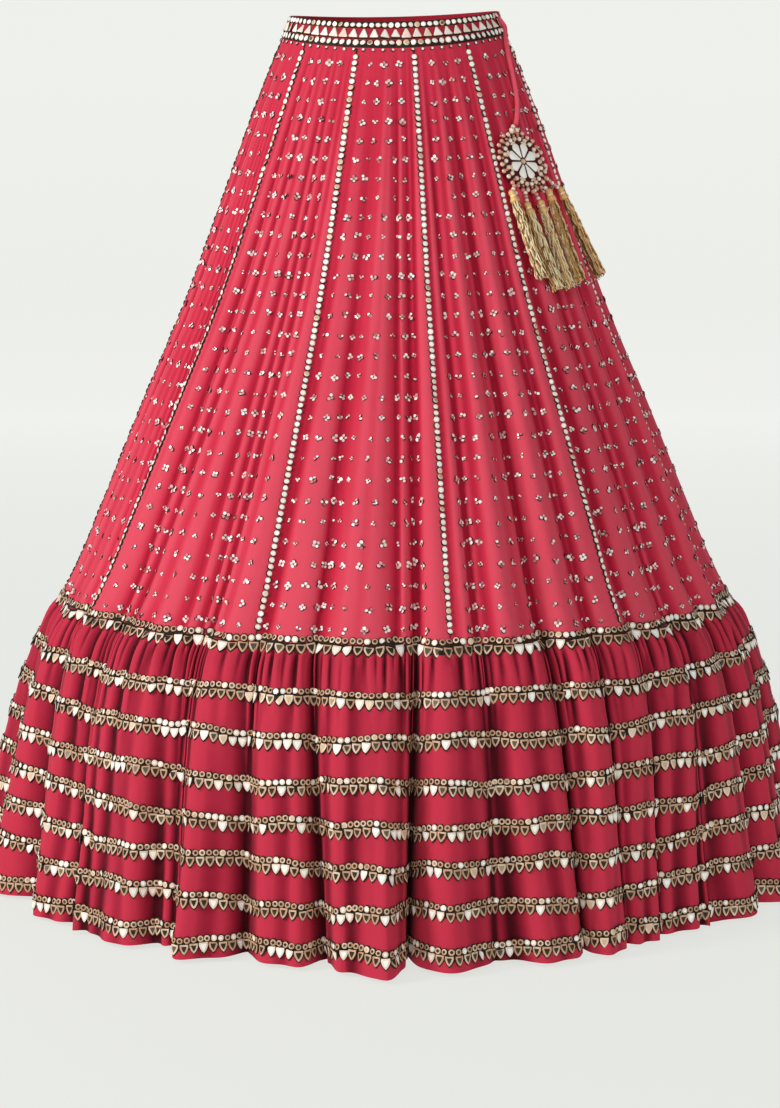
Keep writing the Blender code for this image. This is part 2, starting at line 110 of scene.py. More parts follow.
def thrice(values: Sequence[float], turn: float = 0.0) -> Array:
    """Repeat a column a turn before and after itself, so that it can be read all round."""
    column = np.asarray(values, dtype=float)
    return np.concatenate([column - turn, column, column + turn])


def waves(column: Array, rows: Sequence[tuple[float, float, float]]) -> Array:
    """Sum of sines of the bearing; each row is a size, a count round the skirt and a phase."""
    return sum(size * np.sin(np.radians(column * count) + phase) for size, count, phase in rows)


def run_along(points: Array) -> Array:
    """Length along a line of points, from 0 at the first."""
    return np.concatenate([[0.0], np.cumsum(np.linalg.norm(np.diff(points, axis=0), axis=1))])


def middles(run: Array, along: Array, pitch: float) -> Array:
    """Places of a whole number of items at an even distance, half a pitch in from each end.

    Args:
        run: Length along the line, at each sample.
        along: The samples' own places.
        pitch: Wanted distance between items.

    Returns:
        The items' places.
    """
    count = max(1, int(round(run[-1] / pitch)))
    return np.interp((np.arange(count) + 0.5) * run[-1] / count, run, along)


def unit(ways: Array) -> Array:
    """The same ways, each of length 1."""
    return ways / np.linalg.norm(ways, axis=-1, keepdims=True)


def spread(columns: Array, share: Array) -> tuple[Array, Array]:
    """Columns and shares of every point of a grid, from its row and its column."""
    return columns[None, :] + 0.0 * share[:, None], share[:, None] + 0.0 * columns[None, :]


@dataclass(frozen=True)
class Fold:
    """One fold of the skirt: the valley that starts it and the lobe after it.

    seam and hem are the valley's bearings, depth_seam and depth_hem its depths, bulge is
    how far the lobe stands proud at the hem, and lean turns its crest to one side.
    """

    seam: float
    hem: float
    depth_seam: float
    depth_hem: float
    bulge: float
    lean: float


FOLDS = (
    Fold(-63.5, -57.6, 0.016, 0.056, -0.010, -0.12),
    Fold(-51.7, -46.0, 0.015, 0.024, -0.006, -0.06),
    Fold(-31.5, -29.4, 0.018, 0.038, 0.004, -0.16),
    Fold(-21.3, -19.6, 0.012, 0.044, -0.012, 0.12),
    Fold(-12.6, -8.8, 0.016, 0.044, 0.020, 0.10),
    Fold(3.2, 1.2, 0.026, 0.060, 0.002, -0.10),
    Fold(13.0, 12.6, 0.009, 0.036, -0.010, 0.14),
    Fold(24.1, 25.2, 0.026, 0.040, -0.012, -0.10),
    Fold(32.4, 31.4, 0.012, 0.034, -0.030, 0.00),
    Fold(41.6, 37.4, 0.014, 0.044, -0.024, 0.14),
    Fold(50.6, 45.7, 0.016, 0.034, -0.010, 0.16),
    Fold(61.5, 57.0, 0.018, 0.050, 0.000, -0.10),
    Fold(75.0, 74.0, 0.014, 0.044, 0.000, 0.06),
    Fold(93.0, 94.0, 0.016, 0.048, 0.004, -0.12),
    Fold(107.0, 107.5, 0.020, 0.052, -0.004, 0.12),
    Fold(121.0, 121.5, 0.014, 0.040, 0.006, 0.10),
    Fold(135.5, 135.0, 0.022, 0.056, -0.006, -0.14),
    Fold(150.0, 151.0, 0.012, 0.044, 0.004, 0.10),
    Fold(166.0, 165.0, 0.020, 0.050, -0.008, 0.12),
    Fold(181.0, 182.0, 0.016, 0.058, 0.004, -0.10),
    Fold(197.5, 197.0, 0.022, 0.046, -0.004, 0.14),
    Fold(213.0, 214.5, 0.014, 0.054, 0.006, -0.12),
    Fold(229.5, 229.0, 0.020, 0.044, -0.006, 0.10),
    Fold(246.5, 247.0, 0.016, 0.052, 0.002, -0.10),
    Fold(265.0, 264.5, 0.018, 0.048, 0.006, 0.04),
    Fold(282.5, 283.5, 0.014, 0.046, 0.000, -0.10),
)


@dataclass(frozen=True)
class SkirtForm:
    """The worn shape of the skirt, as functions of bearing and of the way down.

    profile is height against half width.  seams are the panel seams, each a bearing at
    the waist and one at the ruffle.
    """

    profile_z: tuple[float, ...] = (
        0.020, 0.009, -0.019, -0.051, -0.102, -0.230, -0.360, -0.491, -0.623, -0.703,
        -0.745, -0.770, -0.810, -0.863, -0.918, -0.980, -1.040, -1.100)
    profile_width: tuple[float, ...] = (
        0.130, 0.134, 0.1455, 0.1595, 0.180, 0.2275, 0.276, 0.3325, 0.387, 0.421,
        0.443, 0.460, 0.480, 0.500, 0.514, 0.527, 0.541, 0.556)
    seams: tuple[tuple[float, float], ...] = (
        (-48.3, -58.6), (-17.9, -23.0), (8.5, 8.5), (35.8, 37.6), (78.0, 74.1),
        (103.0, 103.0), (132.0, 131.5), (160.5, 160.0), (189.5, 189.0), (218.5, 217.5),
        (247.0, 244.5), (280.0, 273.0))
    waist_depth_ratio: float = 0.72
    round_from_z: float = -0.62
    seam_z: float = -0.745
    hem_z: float = -1.100
    seam_gap: float = 0.0003
    band_front: float = 0.033
    band_side: float = 0.028
    band_top_back: float = 0.014
    band_dip: float = 0.0235
    band_dip_power: float = 2.5
    band_rise_right: float = 0.0030
    sharpness: float = 0.62
    growth_power: float = 1.15
    lean_at_seam: float = 0.4
    wave_count: int = 62
    wave_hem: float = 0.0034
    wave_seam: float = 0.0016
    wave_drift: float = 2.3
    wave_drift_count: float = 5.0
    wave_valley_fade: float = 0.7
    opening: float = 78.0
    gather_spacing: float = 1.25
    gather_depth: float = 0.0030
    gather_peak: float = 0.055

    def half_width(self, z: Array) -> Array:
        """Half width at a height."""
        return smooth_table(-np.asarray(z, dtype=float), [-v for v in self.profile_z], self.profile_width)

    def oval(self, bearing: Array, z: Array, out: Array | float = 0.0) -> Array:
        """Point of the unfolded skirt, moved outward.

        Formula: x = a sin, y = -b cos, plus the outward normal of that oval times out;
        b is a times a ratio that rises from the waist's to 1 at the ruffle.

        Args:
            bearing: Bearing in degrees.
            z: Height.
            out: Distance along the oval's level normal.

        Returns:
            Points, with x, y and z on the last axis.
        """
        angle = np.radians(bearing)
        wide = self.half_width(z)
        share = np.clip(np.asarray(z) / self.round_from_z, 0.0, 1.0)
        deep = wide * (self.waist_depth_ratio + (1.0 - self.waist_depth_ratio) * share)
        nx = deep * np.sin(angle)
        ny = -wide * np.cos(angle)
        size = np.hypot(nx, ny)
        x = wide * np.sin(angle) + nx / size * out
        y = -deep * np.cos(angle) + ny / size * out
        return np.stack(np.broadcast_arrays(x, y, z + 0.0 * x), axis=-1)

    def band_top(self, bearing: Array) -> Array:
        """Height of the waistband's top edge, lowest at the front."""
        angle = np.radians(bearing)
        front = ((1.0 + np.cos(angle)) / 2.0) ** self.band_dip_power
        return self.band_top_back - self.band_dip * front + self.band_rise_right * np.sin(angle)

    def band_height(self, bearing: Array) -> Array:
        """Height of the waistband, a little less at the sides."""
        return self.band_front + (self.band_side - self.band_front) * np.sin(np.radians(bearing)) ** 2

    def band_foot(self, bearing: Array) -> Array:
        """Height of the waistband's lower edge."""
        return self.band_top(bearing) - self.band_height(bearing)

    def fold(self, column: Array, ruffle_share: Array, growth: Array) -> tuple[Array, Array]:
        """Outward step and turn, in degrees, of the cloth at a column.

        Formula: with u the way from one valley to the next, out = -depth (1 + cos 2 pi u)/2
        + bulge (1 - cos 2 pi u)/2 + a small wave, and turn = width (-s sin(2 pi u)/2 pi
        + lean (1 - cos 2 pi u)/2), so that valleys are narrow and crests broad.

        Args:
            column: Bearing at the ruffle seam.
            ruffle_share: 0 at the ruffle seam, 1 at the hem.
            growth: 0 on flat cloth, 1 at full depth.

        Returns:
            The outward step in metres and the turn in degrees.
        """
        starts = thrice([f.seam for f in FOLDS], FULL_TURN)
        table = {name: np.tile([getattr(f, name) for f in FOLDS], 3)
                 for name in ("depth_seam", "depth_hem", "bulge", "lean")}
        i = np.searchsorted(starts, column, side="right") - 1
        width = starts[i + 1] - starts[i]
        phase = 2.0 * math.pi * (column - starts[i]) / width
        near = np.where(phase > math.pi, i + 1, i)
        at_seam = table["depth_seam"][near]
        depth = at_seam + (table["depth_hem"][near] - at_seam) * ruffle_share
        valley = (1.0 + np.cos(phase)) / 2.0
        out = -depth * growth * valley + table["bulge"][i] * ruffle_share * (1.0 - valley)
        lean = table["lean"][i] * (self.lean_at_seam + (1.0 - self.lean_at_seam) * ruffle_share)
        turn = -self.sharpness / (2.0 * math.pi) * np.sin(phase) + lean * (1.0 - valley)
        drift = waves(column, [(self.wave_drift, self.wave_drift_count, 0.0)])
        wave = waves(column, [(1.0, self.wave_count, drift)])
        size = self.wave_seam + (self.wave_hem - self.wave_seam) * ruffle_share
        fade = 1.0 - self.wave_valley_fade * valley
        return out + wave * size * growth * fade, turn * width * growth

    def panel(self, column: Array, share: Array, out: Array | float = 0.0) -> Array:
        """Point of a panel's face; share is 0 under the band and 1 at the ruffle."""
        column = np.asarray(column, dtype=float)
        share = np.asarray(share, dtype=float)
        waist = self.waist_bearing(column)
        top = self.band_foot(waist) - self.seam_gap
        z = top + (self.seam_z - top) * share
        reach = np.maximum(share, 0.0)
        step, turn = self.fold(column, 0.0 * share, reach ** self.growth_power)
        bearing = waist + (column - waist) * share + turn
        return self.oval(bearing, z, step + PANEL_CREASES.depth(column, reach) + out)

    def ruffle(self, column: Array, share: Array, out: Array | float = 0.0) -> Array:
        """Point of the ruffle's face; share is 0 at its seam and 1 at the hem."""
        column = np.asarray(column, dtype=float)
        share = np.asarray(share, dtype=float)
        hem = np.interp(column, thrice([f.seam for f in FOLDS], FULL_TURN),
                        thrice([f.hem for f in FOLDS], FULL_TURN))
        z = self.seam_z - self.seam_gap + (self.hem_z - self.seam_z + self.seam_gap) * share
        reach = np.maximum(share, 0.0)
        step, turn = self.fold(column, reach, 1.0 + 0.0 * share)
        bearing = column + (hem - column) * share + turn
        return self.oval(bearing, z, step + RUFFLE_CREASES.depth(self, column, reach) + out)

    def tier(self, column: Array, drop: Array, out: Array | float = 0.0) -> Array:
        """Point of the skirt by its vertical drop below the ruffle seam, on either tier."""
        drop = np.asarray(drop, dtype=float)
        below = self.ruffle(column, drop / (self.seam_z - self.hem_z), out)
        above = self.panel(column, 1.0 + drop / self.panel_drop(column), out)
        return np.where((drop >= 0.0)[..., None], below, above)

    def panel_drop(self, column: Array) -> Array:
        """Vertical length of the panels at a column."""
        return self.band_foot(self.waist_bearing(column)) - self.seam_z

    def waist_bearing(self, column: Array) -> Array:
        """Bearing at the waist of a column, which is counted at the ruffle seam."""
        return np.interp(column, thrice([s[1] for s in self.seams], FULL_TURN),
                         thrice([s[0] for s in self.seams], FULL_TURN))

    def band_spans(self, margin: float) -> tuple[tuple[str, float, float], ...]:
        """The two lengths of the waistband, each with its first and last bearing.

        Args:
            margin: Degrees left open on each side of the opening's middle.

        Returns:
            The name of each length and its two bearings.
        """
        far = self.opening - FULL_TURN / 2.0
        return (("front", far, self.opening - margin), ("back", self.opening + margin, far + FULL_TURN))

    def panel_bounds(self) -> list[tuple[float, float]]:
        """First and last column of each panel, in order round the skirt."""
        starts = [s[1] for s in self.seams]
        return list(zip(starts, starts[1:] + [starts[0] + FULL_TURN]))

    def band(self, bearing: Array, share: Array, out: Array | float = 0.0) -> Array:
        """Point of the waistband's face; share is 0 at its top edge and 1 at its lower one."""
        z = self.band_top(bearing) - self.band_height(bearing) * np.asarray(share, dtype=float)
        return self.oval(bearing, z, out)


@dataclass(frozen=True)
class PanelCreases:
    """Soft flutes that run down the panels between the main folds.

    Each row is a count round the skirt, a depth, a drift of the phase down the cloth, the
    count of the drift along it and the count of the flutes' own fading.
    """

    rows: tuple[tuple[float, ...], ...] = (
        (97, 0.0026, 1.9, 3, 7), (151, 0.0011, 3.1, 5, 11), (43, 0.0046, 0.8, 7, 15))
    fade_middle: float = 0.55
    fade_swing: float = 0.45
    growth_power: float = 0.8

    def depth(self, column: Array, share: Array) -> Array:
        """Outward step: a sum of waves in the bearing whose phase drifts down the cloth."""
        total = 0.0 * column * share
        for k, (count, size, drift, drift_count, fade_count) in enumerate(self.rows):
            shift = drift * (waves(column, [(1.0, drift_count, 0.0)]) + share)
            fade = self.fade_middle + waves(column, [(self.fade_swing, fade_count, k)])
            total = total + size * fade * waves(column, [(1.0, count, shift)])
        return total * share ** self.growth_power


@dataclass(frozen=True)
class RuffleCreases:
    """Gathers under the ruffle seam, loose waves below and the slight pinch of each band.

    loose holds the waves below: a count round the skirt, a depth, a phase and the count of
    their sideways drift.  The other tables are rows of waves.
    """

    fine_count: int = 150
    fine_depth: float = 0.0034
    fine_peak: float = 0.040
    fine_wander: float = 2.1
    fine_lean: float = 2.0
    held: float = 0.020
    main_gain: float = 1.15
    peak_middle: float = 1.25
    peak_swing: float = 0.3
    wander: tuple[tuple[float, float, float], ...] = ((0.9, 11.0, 0.0), (0.6, 23.0, 1.0))
    reach: tuple[tuple[float, float, float], ...] = ((0.5, 31.0, 0.0), (0.4, 83.0, 0.0))
    strength_middle: float = 0.75
    strength: tuple[tuple[float, float, float], ...] = ((0.35, 17.0, 0.5),)
    loose: tuple[tuple[float, float, float, float], ...] = (
        (88, 0.0028, 0.0, 5), (131, 0.0024, 0.9, 8), (37, 0.0044, 1.8, 11))
    loose_drift: float = 1.4
    loose_at_seam: float = 0.25
    pinch: float = 0.0012
    pinch_start: float = 6.0

    def gathered(self, way: Array, peak: Array | float) -> Array:
        """Growth and fading of a gather below its seam: (s/p) exp(1 - s/p)."""
        return way / peak * np.exp(1.0 - way / peak)

    def depth(self, form: "SkirtForm", column: Array, share: Array) -> Array:
        """Outward step of gathers, waves and puffs.

        Formula: gathers are waves in the bearing times (s/p) exp(1 - s/p), with s the way
        down past the sewn seam band and p their peak; the fine ones are 2 |sin| - 1, which is
        round on top and sharp below; waves grow with the way down; puffs are sin squared
        between bands.

        Args:
            form: The skirt, for the size and spacing of its gathers.
            column: Bearing at the ruffle seam.
            share: 0 at the ruffle seam, 1 at the hem.

        Returns:
            The step in metres.
        """
        wander = waves(column, self.wander)
        main = -np.cos(math.pi * (column - FOLDS[0].seam) / form.gather_spacing + wander)
        turn = self.fine_wander * wander + share * self.fine_lean
        fine = 2.0 * np.abs(waves(column, [(1.0, self.fine_count, turn)])) - 1.0
        long = 1.0 + waves(column, self.reach)
        way = np.maximum(share - self.held, 0.0)
        full = self.gathered(way, form.gather_peak * (self.peak_middle + self.peak_swing * main) * long)
        near = self.gathered(way, self.fine_peak * long)
        total = form.gather_depth * self.main_gain * main * full + self.fine_depth * fine * near
        total = total * (self.strength_middle + waves(column, self.strength))
        grown_share = self.loose_at_seam + (1.0 - self.loose_at_seam) * share
        for count, size, phase, drift_count in self.loose:
            shift = waves(column, [(self.loose_drift, drift_count, share * 2.0)]) + phase
            total = total + waves(column, [(size, count, shift)]) * grown_share
        between = np.sin(math.pi * share * len(BAND_DROPS)) ** 2
        return total + self.pinch * (between - 0.5) * np.minimum(1.0, share * self.pinch_start)


# Vertical drops of the worked bands below the ruffle seam, at their braid
BAND_DROPS = (0.0005, 0.0545, 0.1015, 0.1505, 0.1970, 0.2420, 0.2880, 0.3340)

PANEL_CREASES = PanelCreases()
RUFFLE_CREASES = RuffleCreases()
FORM = SkirtForm()


# Meshes from arrays


@dataclass
class MeshParts:
    """Collects vertices and faces as arrays and makes one object of them."""

    points: list[Array] = field(default_factory=list)
    faces: list[Array] = field(default_factory=list)
    layers: list[Array] = field(default_factory=list)
    tints: list[Array] = field(default_factory=list)
    uvs: list[Array] = field(default_factory=list)
    count: int = 0

    def add(self, points: Array, faces: Sequence[Array], layers: Sequence[int],
            tints: Sequence[Array | float], uv: Array | None = None) -> None:
        """Add one block.

        Args:
            points: Vertices by three.
            faces: Blocks of faces, each faces by corners, counted within this block.
            layers: The material index of each block of faces.
            tints: A tint for each block, one number or one a face.
            uv: Vertices by two, or none for zeros.
        """
        self.points.append(points.reshape(-1, 3))
        self.uvs.append(np.zeros((len(self.points[-1]), 2)) if uv is None else uv.reshape(-1, 2))
        for block, layer, tint in zip(faces, layers, tints):
            self.faces.append(block + self.count)
            self.layers.append(np.full(len(block), layer))
            self.tints.append(np.broadcast_to(np.asarray(tint, dtype=float), (len(block),)))
        self.count += len(self.points[-1])

    def build(self, name: str, materials: Sequence[bpy.types.Material], smooth: bool) -> bpy.types.Object:
        """Make the object, with its tint and its UV map stored on it.

        Args:
            name: The object's name.
            materials: Its materials, in the order of the layers.
            smooth: Whether its faces are shaded smooth.

        Returns:
            The linked object.
        """
        mesh = bpy.data.meshes.new(name)
        points = np.concatenate(self.points)
        corners = np.concatenate([block.ravel() for block in self.faces])
        totals = np.concatenate([np.full(len(block), block.shape[1]) for block in self.faces])
        starts = np.concatenate([[0], np.cumsum(totals)[:-1]])
        mesh.vertices.add(len(points))
        mesh.vertices.foreach_set("co", points.astype(np.float32).ravel())
        mesh.loops.add(len(corners))
        mesh.loops.foreach_set("vertex_index", corners.astype(np.int32))
        mesh.polygons.add(len(totals))
        mesh.polygons.foreach_set("loop_start", starts.astype(np.int32))
        mesh.polygons.foreach_set("material_index", np.concatenate(self.layers).astype(np.int32))
        mesh.polygons.foreach_set("use_smooth", np.full(len(totals), smooth))
        tint = mesh.attributes.new("tint", "FLOAT", "FACE")
        tint.data.foreach_set("value", np.concatenate(self.tints).astype(np.float32))
        layer = mesh.uv_layers.new(name="cloth")
        layer.data.foreach_set("uv", np.concatenate(self.uvs)[corners].astype(np.float32).ravel())
        for material in materials:
            mesh.materials.append(material)
        mesh.update(calc_edges=True)
        mesh.validate()
        item = bpy.data.objects.new(name, mesh)
        bpy.context.scene.collection.objects.link(item)
        return item


def grid_faces(rows: int, columns: int) -> Array:
    """Quads of a grid of rows by columns points, facing the side where columns run right."""
    r, c = np.meshgrid(np.arange(rows - 1), np.arange(columns - 1), indexing="ij")
    a = (r * columns + c).ravel()
    return np.stack([a, a + columns, a + columns + 1, a + 1], axis=-1)


def ring_quads(rings: int, sides: int) -> Array:
    """Quads between closed rings of points, each ring after the one before it."""
    k = np.arange(sides)
    after = (k + 1) % sides
    rows = np.arange(rings - 1)[:, None] * sides
    return np.stack([rows + k, rows + after, rows + sides + after, rows + sides + k], axis=-1).reshape(-1, 4)


def triangles(item: bpy.types.Object) -> int:
    """Triangles of a finished piece, modifiers included."""
    graph = bpy.context.evaluated_depsgraph_get()
    mesh = item.evaluated_get(graph).to_mesh()
    mesh.calc_loop_triangles()
    total = len(mesh.loop_triangles)
    item.evaluated_get(graph).to_mesh_clear()
    return total


@dataclass(frozen=True)
class Frames:
    """Places on a surface: origins and the unit ways along, down and outward."""

    origin: Array
    along: Array
    down: Array
    out: Array

    def lifted(self, height: float) -> "Frames":
        """The same places, moved outward."""
        return Frames(self.origin + self.out * height, self.along, self.down, self.out)

    def moved(self, across: Array | float, down: Array | float) -> "Frames":
        """The same places, moved along and down their own planes."""
        step = self.along * np.reshape(across, (-1, 1)) + self.down * np.reshape(down, (-1, 1))
        return Frames(self.origin + step, self.along, self.down, self.out)

    def turned(self, angle: Array) -> "Frames":
        """The same places, turned about their outward way by an angle in radians."""
        c, s = np.cos(angle)[:, None], np.sin(angle)[:, None]
        return Frames(self.origin, self.along * c + self.down * s, self.down * c - self.along * s, self.out)

    def chosen(self, keep: Array) -> "Frames":
        """Only the places that a mask keeps."""
        return Frames(self.origin[keep], self.along[keep], self.down[keep], self.out[keep])

    def tilted(self, rng: np.random.Generator, degrees: float) -> "Frames":
        """The same places, each turned a little off the surface, as sewn mirrors are."""
        count = len(self.origin)
        lean = np.radians(degrees) * rng.normal(size=(2, count, 1))
        out = unit(self.out + self.along * lean[0] + self.down * lean[1])
        along = unit(self.along - out * np.sum(self.along * out, axis=-1, keepdims=True))
        return Frames(self.origin, along, np.cross(along, out), out)


STEP_DEGREES = 0.02
STEP_SHARE = 0.0008
STEP_DOWN = 0.002
SUNK = 0.0009
SHARPEST_CORNER = 0.75


def frames_on(surface: Surface, column: Array, share: Array, step: float = STEP_SHARE,
              reach: float = STEP_DEGREES) -> Frames:
    """Frames on a surface by steps along and down it.

    Formula: the ways are the differences over both steps; where the cloth dips between the
    two points along it, the origin stands on the line between them, as a sewn mirror does.

    Args:
        surface: The cloth.
        column: Column of each place.
        share: Share of each place.
        step: Half the step down.
        reach: Half the step along, in degrees.

    Returns:
        The frames.
    """
    origin = surface(column, share)
    left, right = surface(column - reach, share), surface(column + reach, share)
    along = unit(right - left)
    out = unit(np.cross(surface(column, share + step) - surface(column, share - step), along))
    dip = np.sum(((left + right) / 2.0 - origin) * out, axis=-1, keepdims=True)
    return Frames(origin + out * np.maximum(dip, 0.0), along, np.cross(along, out), out)


def even_columns(surface: Surface, share: Surface, start: float, end: float, pitch: float,
                 fine: int = 4000) -> Array:
    """Columns of a row's items, a whole number of them at an even distance along the cloth.

    Args:
        surface: The cloth.
        share: Gives the row's share at each column.
        start: First column.
        end: Last column.
        pitch: Wanted distance between items.
        fine: How many samples the length is measured with.

    Returns:
        The columns of the items, half a pitch in from each end.
    """
    columns = np.linspace(start, end, fine)
    return middles(run_along(surface(columns, share(columns))), columns, pitch)


class Stamp:
    """A small shape, stamped at many frames as one block of mesh."""

    def __init__(self, points: Array, faces: Sequence[Array], layers: Sequence[int]) -> None:
        """Keep the shape: points are along, up the cloth and outward; faces by block."""
        self.points = points
        self.faces = faces
        self.layers = layers

    def press(self, parts: MeshParts, frames: Frames, sizes: Array, tints: Array) -> None:
        """Add a copy at each frame.

        Args:
            parts: Where the copies go.
            frames: The places.
            sizes: A scale for each copy.
            tints: A tint for each copy.
        """
        local = self.points[None, :, :] * sizes[:, None, None]
        world = (frames.origin[:, None, :] + local[..., 0:1] * frames.along[:, None, :]
                 - local[..., 1:2] * frames.down[:, None, :] + local[..., 2:3] * frames.out[:, None, :])
        shift = (np.arange(len(sizes)) * len(self.points))[:, None, None]
        blocks = [(block[None, :, :] + shift).reshape(-1, block.shape[1]) for block in self.faces]
        marks = [np.repeat(tints, len(block)) for block in self.faces]
        parts.add(world, blocks, self.layers, marks)


def grown(outline: Array, distance: float) -> Array:
    """Move the edges of an outline outward by a distance, or inward if it is negative.

    Formula: each corner moves along the sum of its two edge normals, divided by one plus
    their dot product, which is held up at sharp corners.
    """
    edge = np.roll(outline, -1, axis=0) - outline
    normal = np.column_stack([edge[:, 1], -edge[:, 0]]) / np.linalg.norm(edge, axis=1, keepdims=True)
    before = np.roll(normal, 1, axis=0)
    spread = np.maximum(1.0 + np.sum(before * normal, axis=1, keepdims=True), SHARPEST_CORNER)
    return outline + distance * (before + normal) / spread


def rimmed_stamp(outline: Array, rim: float, height: float, halo: float,
                 face: Layer = Layer.GLASS) -> Stamp:
    """A sewn mirror: a dark thread edge that meets the cloth, a raised rim and the glass.

    Formula: three rings, the outline grown by halo and sunk into the cloth, the outline
    grown by a quarter of it at 0.62 of the height, and the outline shrunk by rim at full
    height, closed by the glass.

    Args:
        outline: The mirror's outline, points by two, turning left.
        rim: Width of the rim.
        height: How far the rim stands up.
        halo: Width of the thread round it.
        face: The material inside the rim.

    Returns:
        The stamp, in metres at scale 1.
    """
    n = len(outline)
    rings = [(halo, -SUNK), (halo * 0.25, height * 0.62), (-rim, height)]
    points = [np.column_stack([grown(outline, by), np.full(n, level)]) for by, level in rings]
    quads = ring_quads(3, n)
    return Stamp(np.concatenate(points), [quads[:n], quads[n:], np.arange(2 * n, 3 * n)[None, :]],
                 [Layer.THREAD.value, Layer.RIM.value, face.value])


def sequin_stamp(radius: float, height: float, halo: float, sides: int = 6) -> Stamp:
    """A small sequin: a sloping dark thread edge round one flat face."""
    outline = round_outline(radius, sides)
    rings = [np.column_stack([grown(outline, halo), np.full(sides, -SUNK)]),
             np.column_stack([outline, np.full(sides, height)])]
    return Stamp(np.concatenate(rings), [ring_quads(2, sides), np.arange(sides, 2 * sides)[None, :]],
                 [Layer.THREAD.value, Layer.SEQUIN.value])


def round_outline(radius: float, sides: int = 8) -> Array:
    """A regular polygon that stands for a circle."""
    angle = (np.arange(sides) + 0.5) / sides * math.tau
    return np.column_stack([radius * np.cos(angle), radius * np.sin(angle)])


def drop_outline(width: float, height: float) -> Array:
    """A drop with its point down, full in the shoulders and nearly flat on top."""
    right = np.array([[0.0, -0.56], [0.38, -0.40], [0.76, -0.12], [0.98, 0.18], [0.97, 0.46]])
    left = right[:0:-1] * [-1.0, 1.0]
    return np.concatenate([right, left]) * [width / 2.0, height]


def triangle_outline(width: float, height: float) -> Array:
    """A triangle with its point up and its corners cut."""
    shape = np.array([[0.42, -0.5], [0.5, -0.40], [0.09, 0.5], [-0.09, 0.5], [-0.5, -0.40], [-0.42, -0.5]])
    return shape * [width, height]


def ribbon(parts: MeshParts, surface: Surface, columns: Array, low: Array, high: Array,
           height: float, edge: float = 0.00015) -> None:
    """A raised line of dark thread along a row.

    Formula: three points across, at low, middle and high, with the middle one lifted.

    Args:
        parts: Where it goes.
        surface: The cloth.
        columns: Where the line is read.
        low: Share of its upper edge at each column.
        high: Share of its lower edge at each column.
        height: How far its middle stands off the cloth.
        edge: How far its edges stand off the cloth.
    """
    rows = np.stack([low, (low + high) / 2.0, high])
    lift = np.array([edge, height, edge])[:, None]
    points = surface(np.broadcast_to(columns, rows.shape), rows, lift)
    parts.add(points, [grid_faces(3, len(columns))], [Layer.THREAD.value], [0.0])


# Shader nodes written as expressions


class Sock:
    """A shader socket that adds Math nodes when it is used in an expression."""

    def __init__(self, tree: "NodeTree", socket: bpy.types.NodeSocket) -> None:
        """Wrap a socket of a tree."""
        self.tree = tree
        self.socket = socket

    def math(self, operation: str, other: "Sock | float" = 0.0, swap: bool = False) -> "Sock":
        """One Math node on this socket and another value."""
        pair = (other, self) if swap else (self, other)
        return self.tree.node("ShaderNodeMath", {"operation": operation}, dict(enumerate(pair)))

    def __add__(self, other: "Sock | float") -> "Sock":
        """Sum."""
        return self.math("ADD", other)

    def __radd__(self, other: float) -> "Sock":
        """Sum with a number first."""
        return self.math("ADD", other)

    def __sub__(self, other: "Sock | float") -> "Sock":
        """Difference."""
        return self.math("SUBTRACT", other)

    def __rsub__(self, other: float) -> "Sock":
        """Difference from a number."""
        return self.math("SUBTRACT", other, swap=True)

    def __mul__(self, other: "Sock | float") -> "Sock":
        """Product."""
        return self.math("MULTIPLY", other)

    def __rmul__(self, other: float) -> "Sock":
        """Product with a number first."""
        return self.math("MULTIPLY", other)

    def sine(self) -> "Sock":
        """Sine of this value."""
        return self.math("SINE")

    def above(self, edge: float) -> "Sock":
        """1 where this value is above an edge, else 0."""
        return self.math("GREATER_THAN", edge)


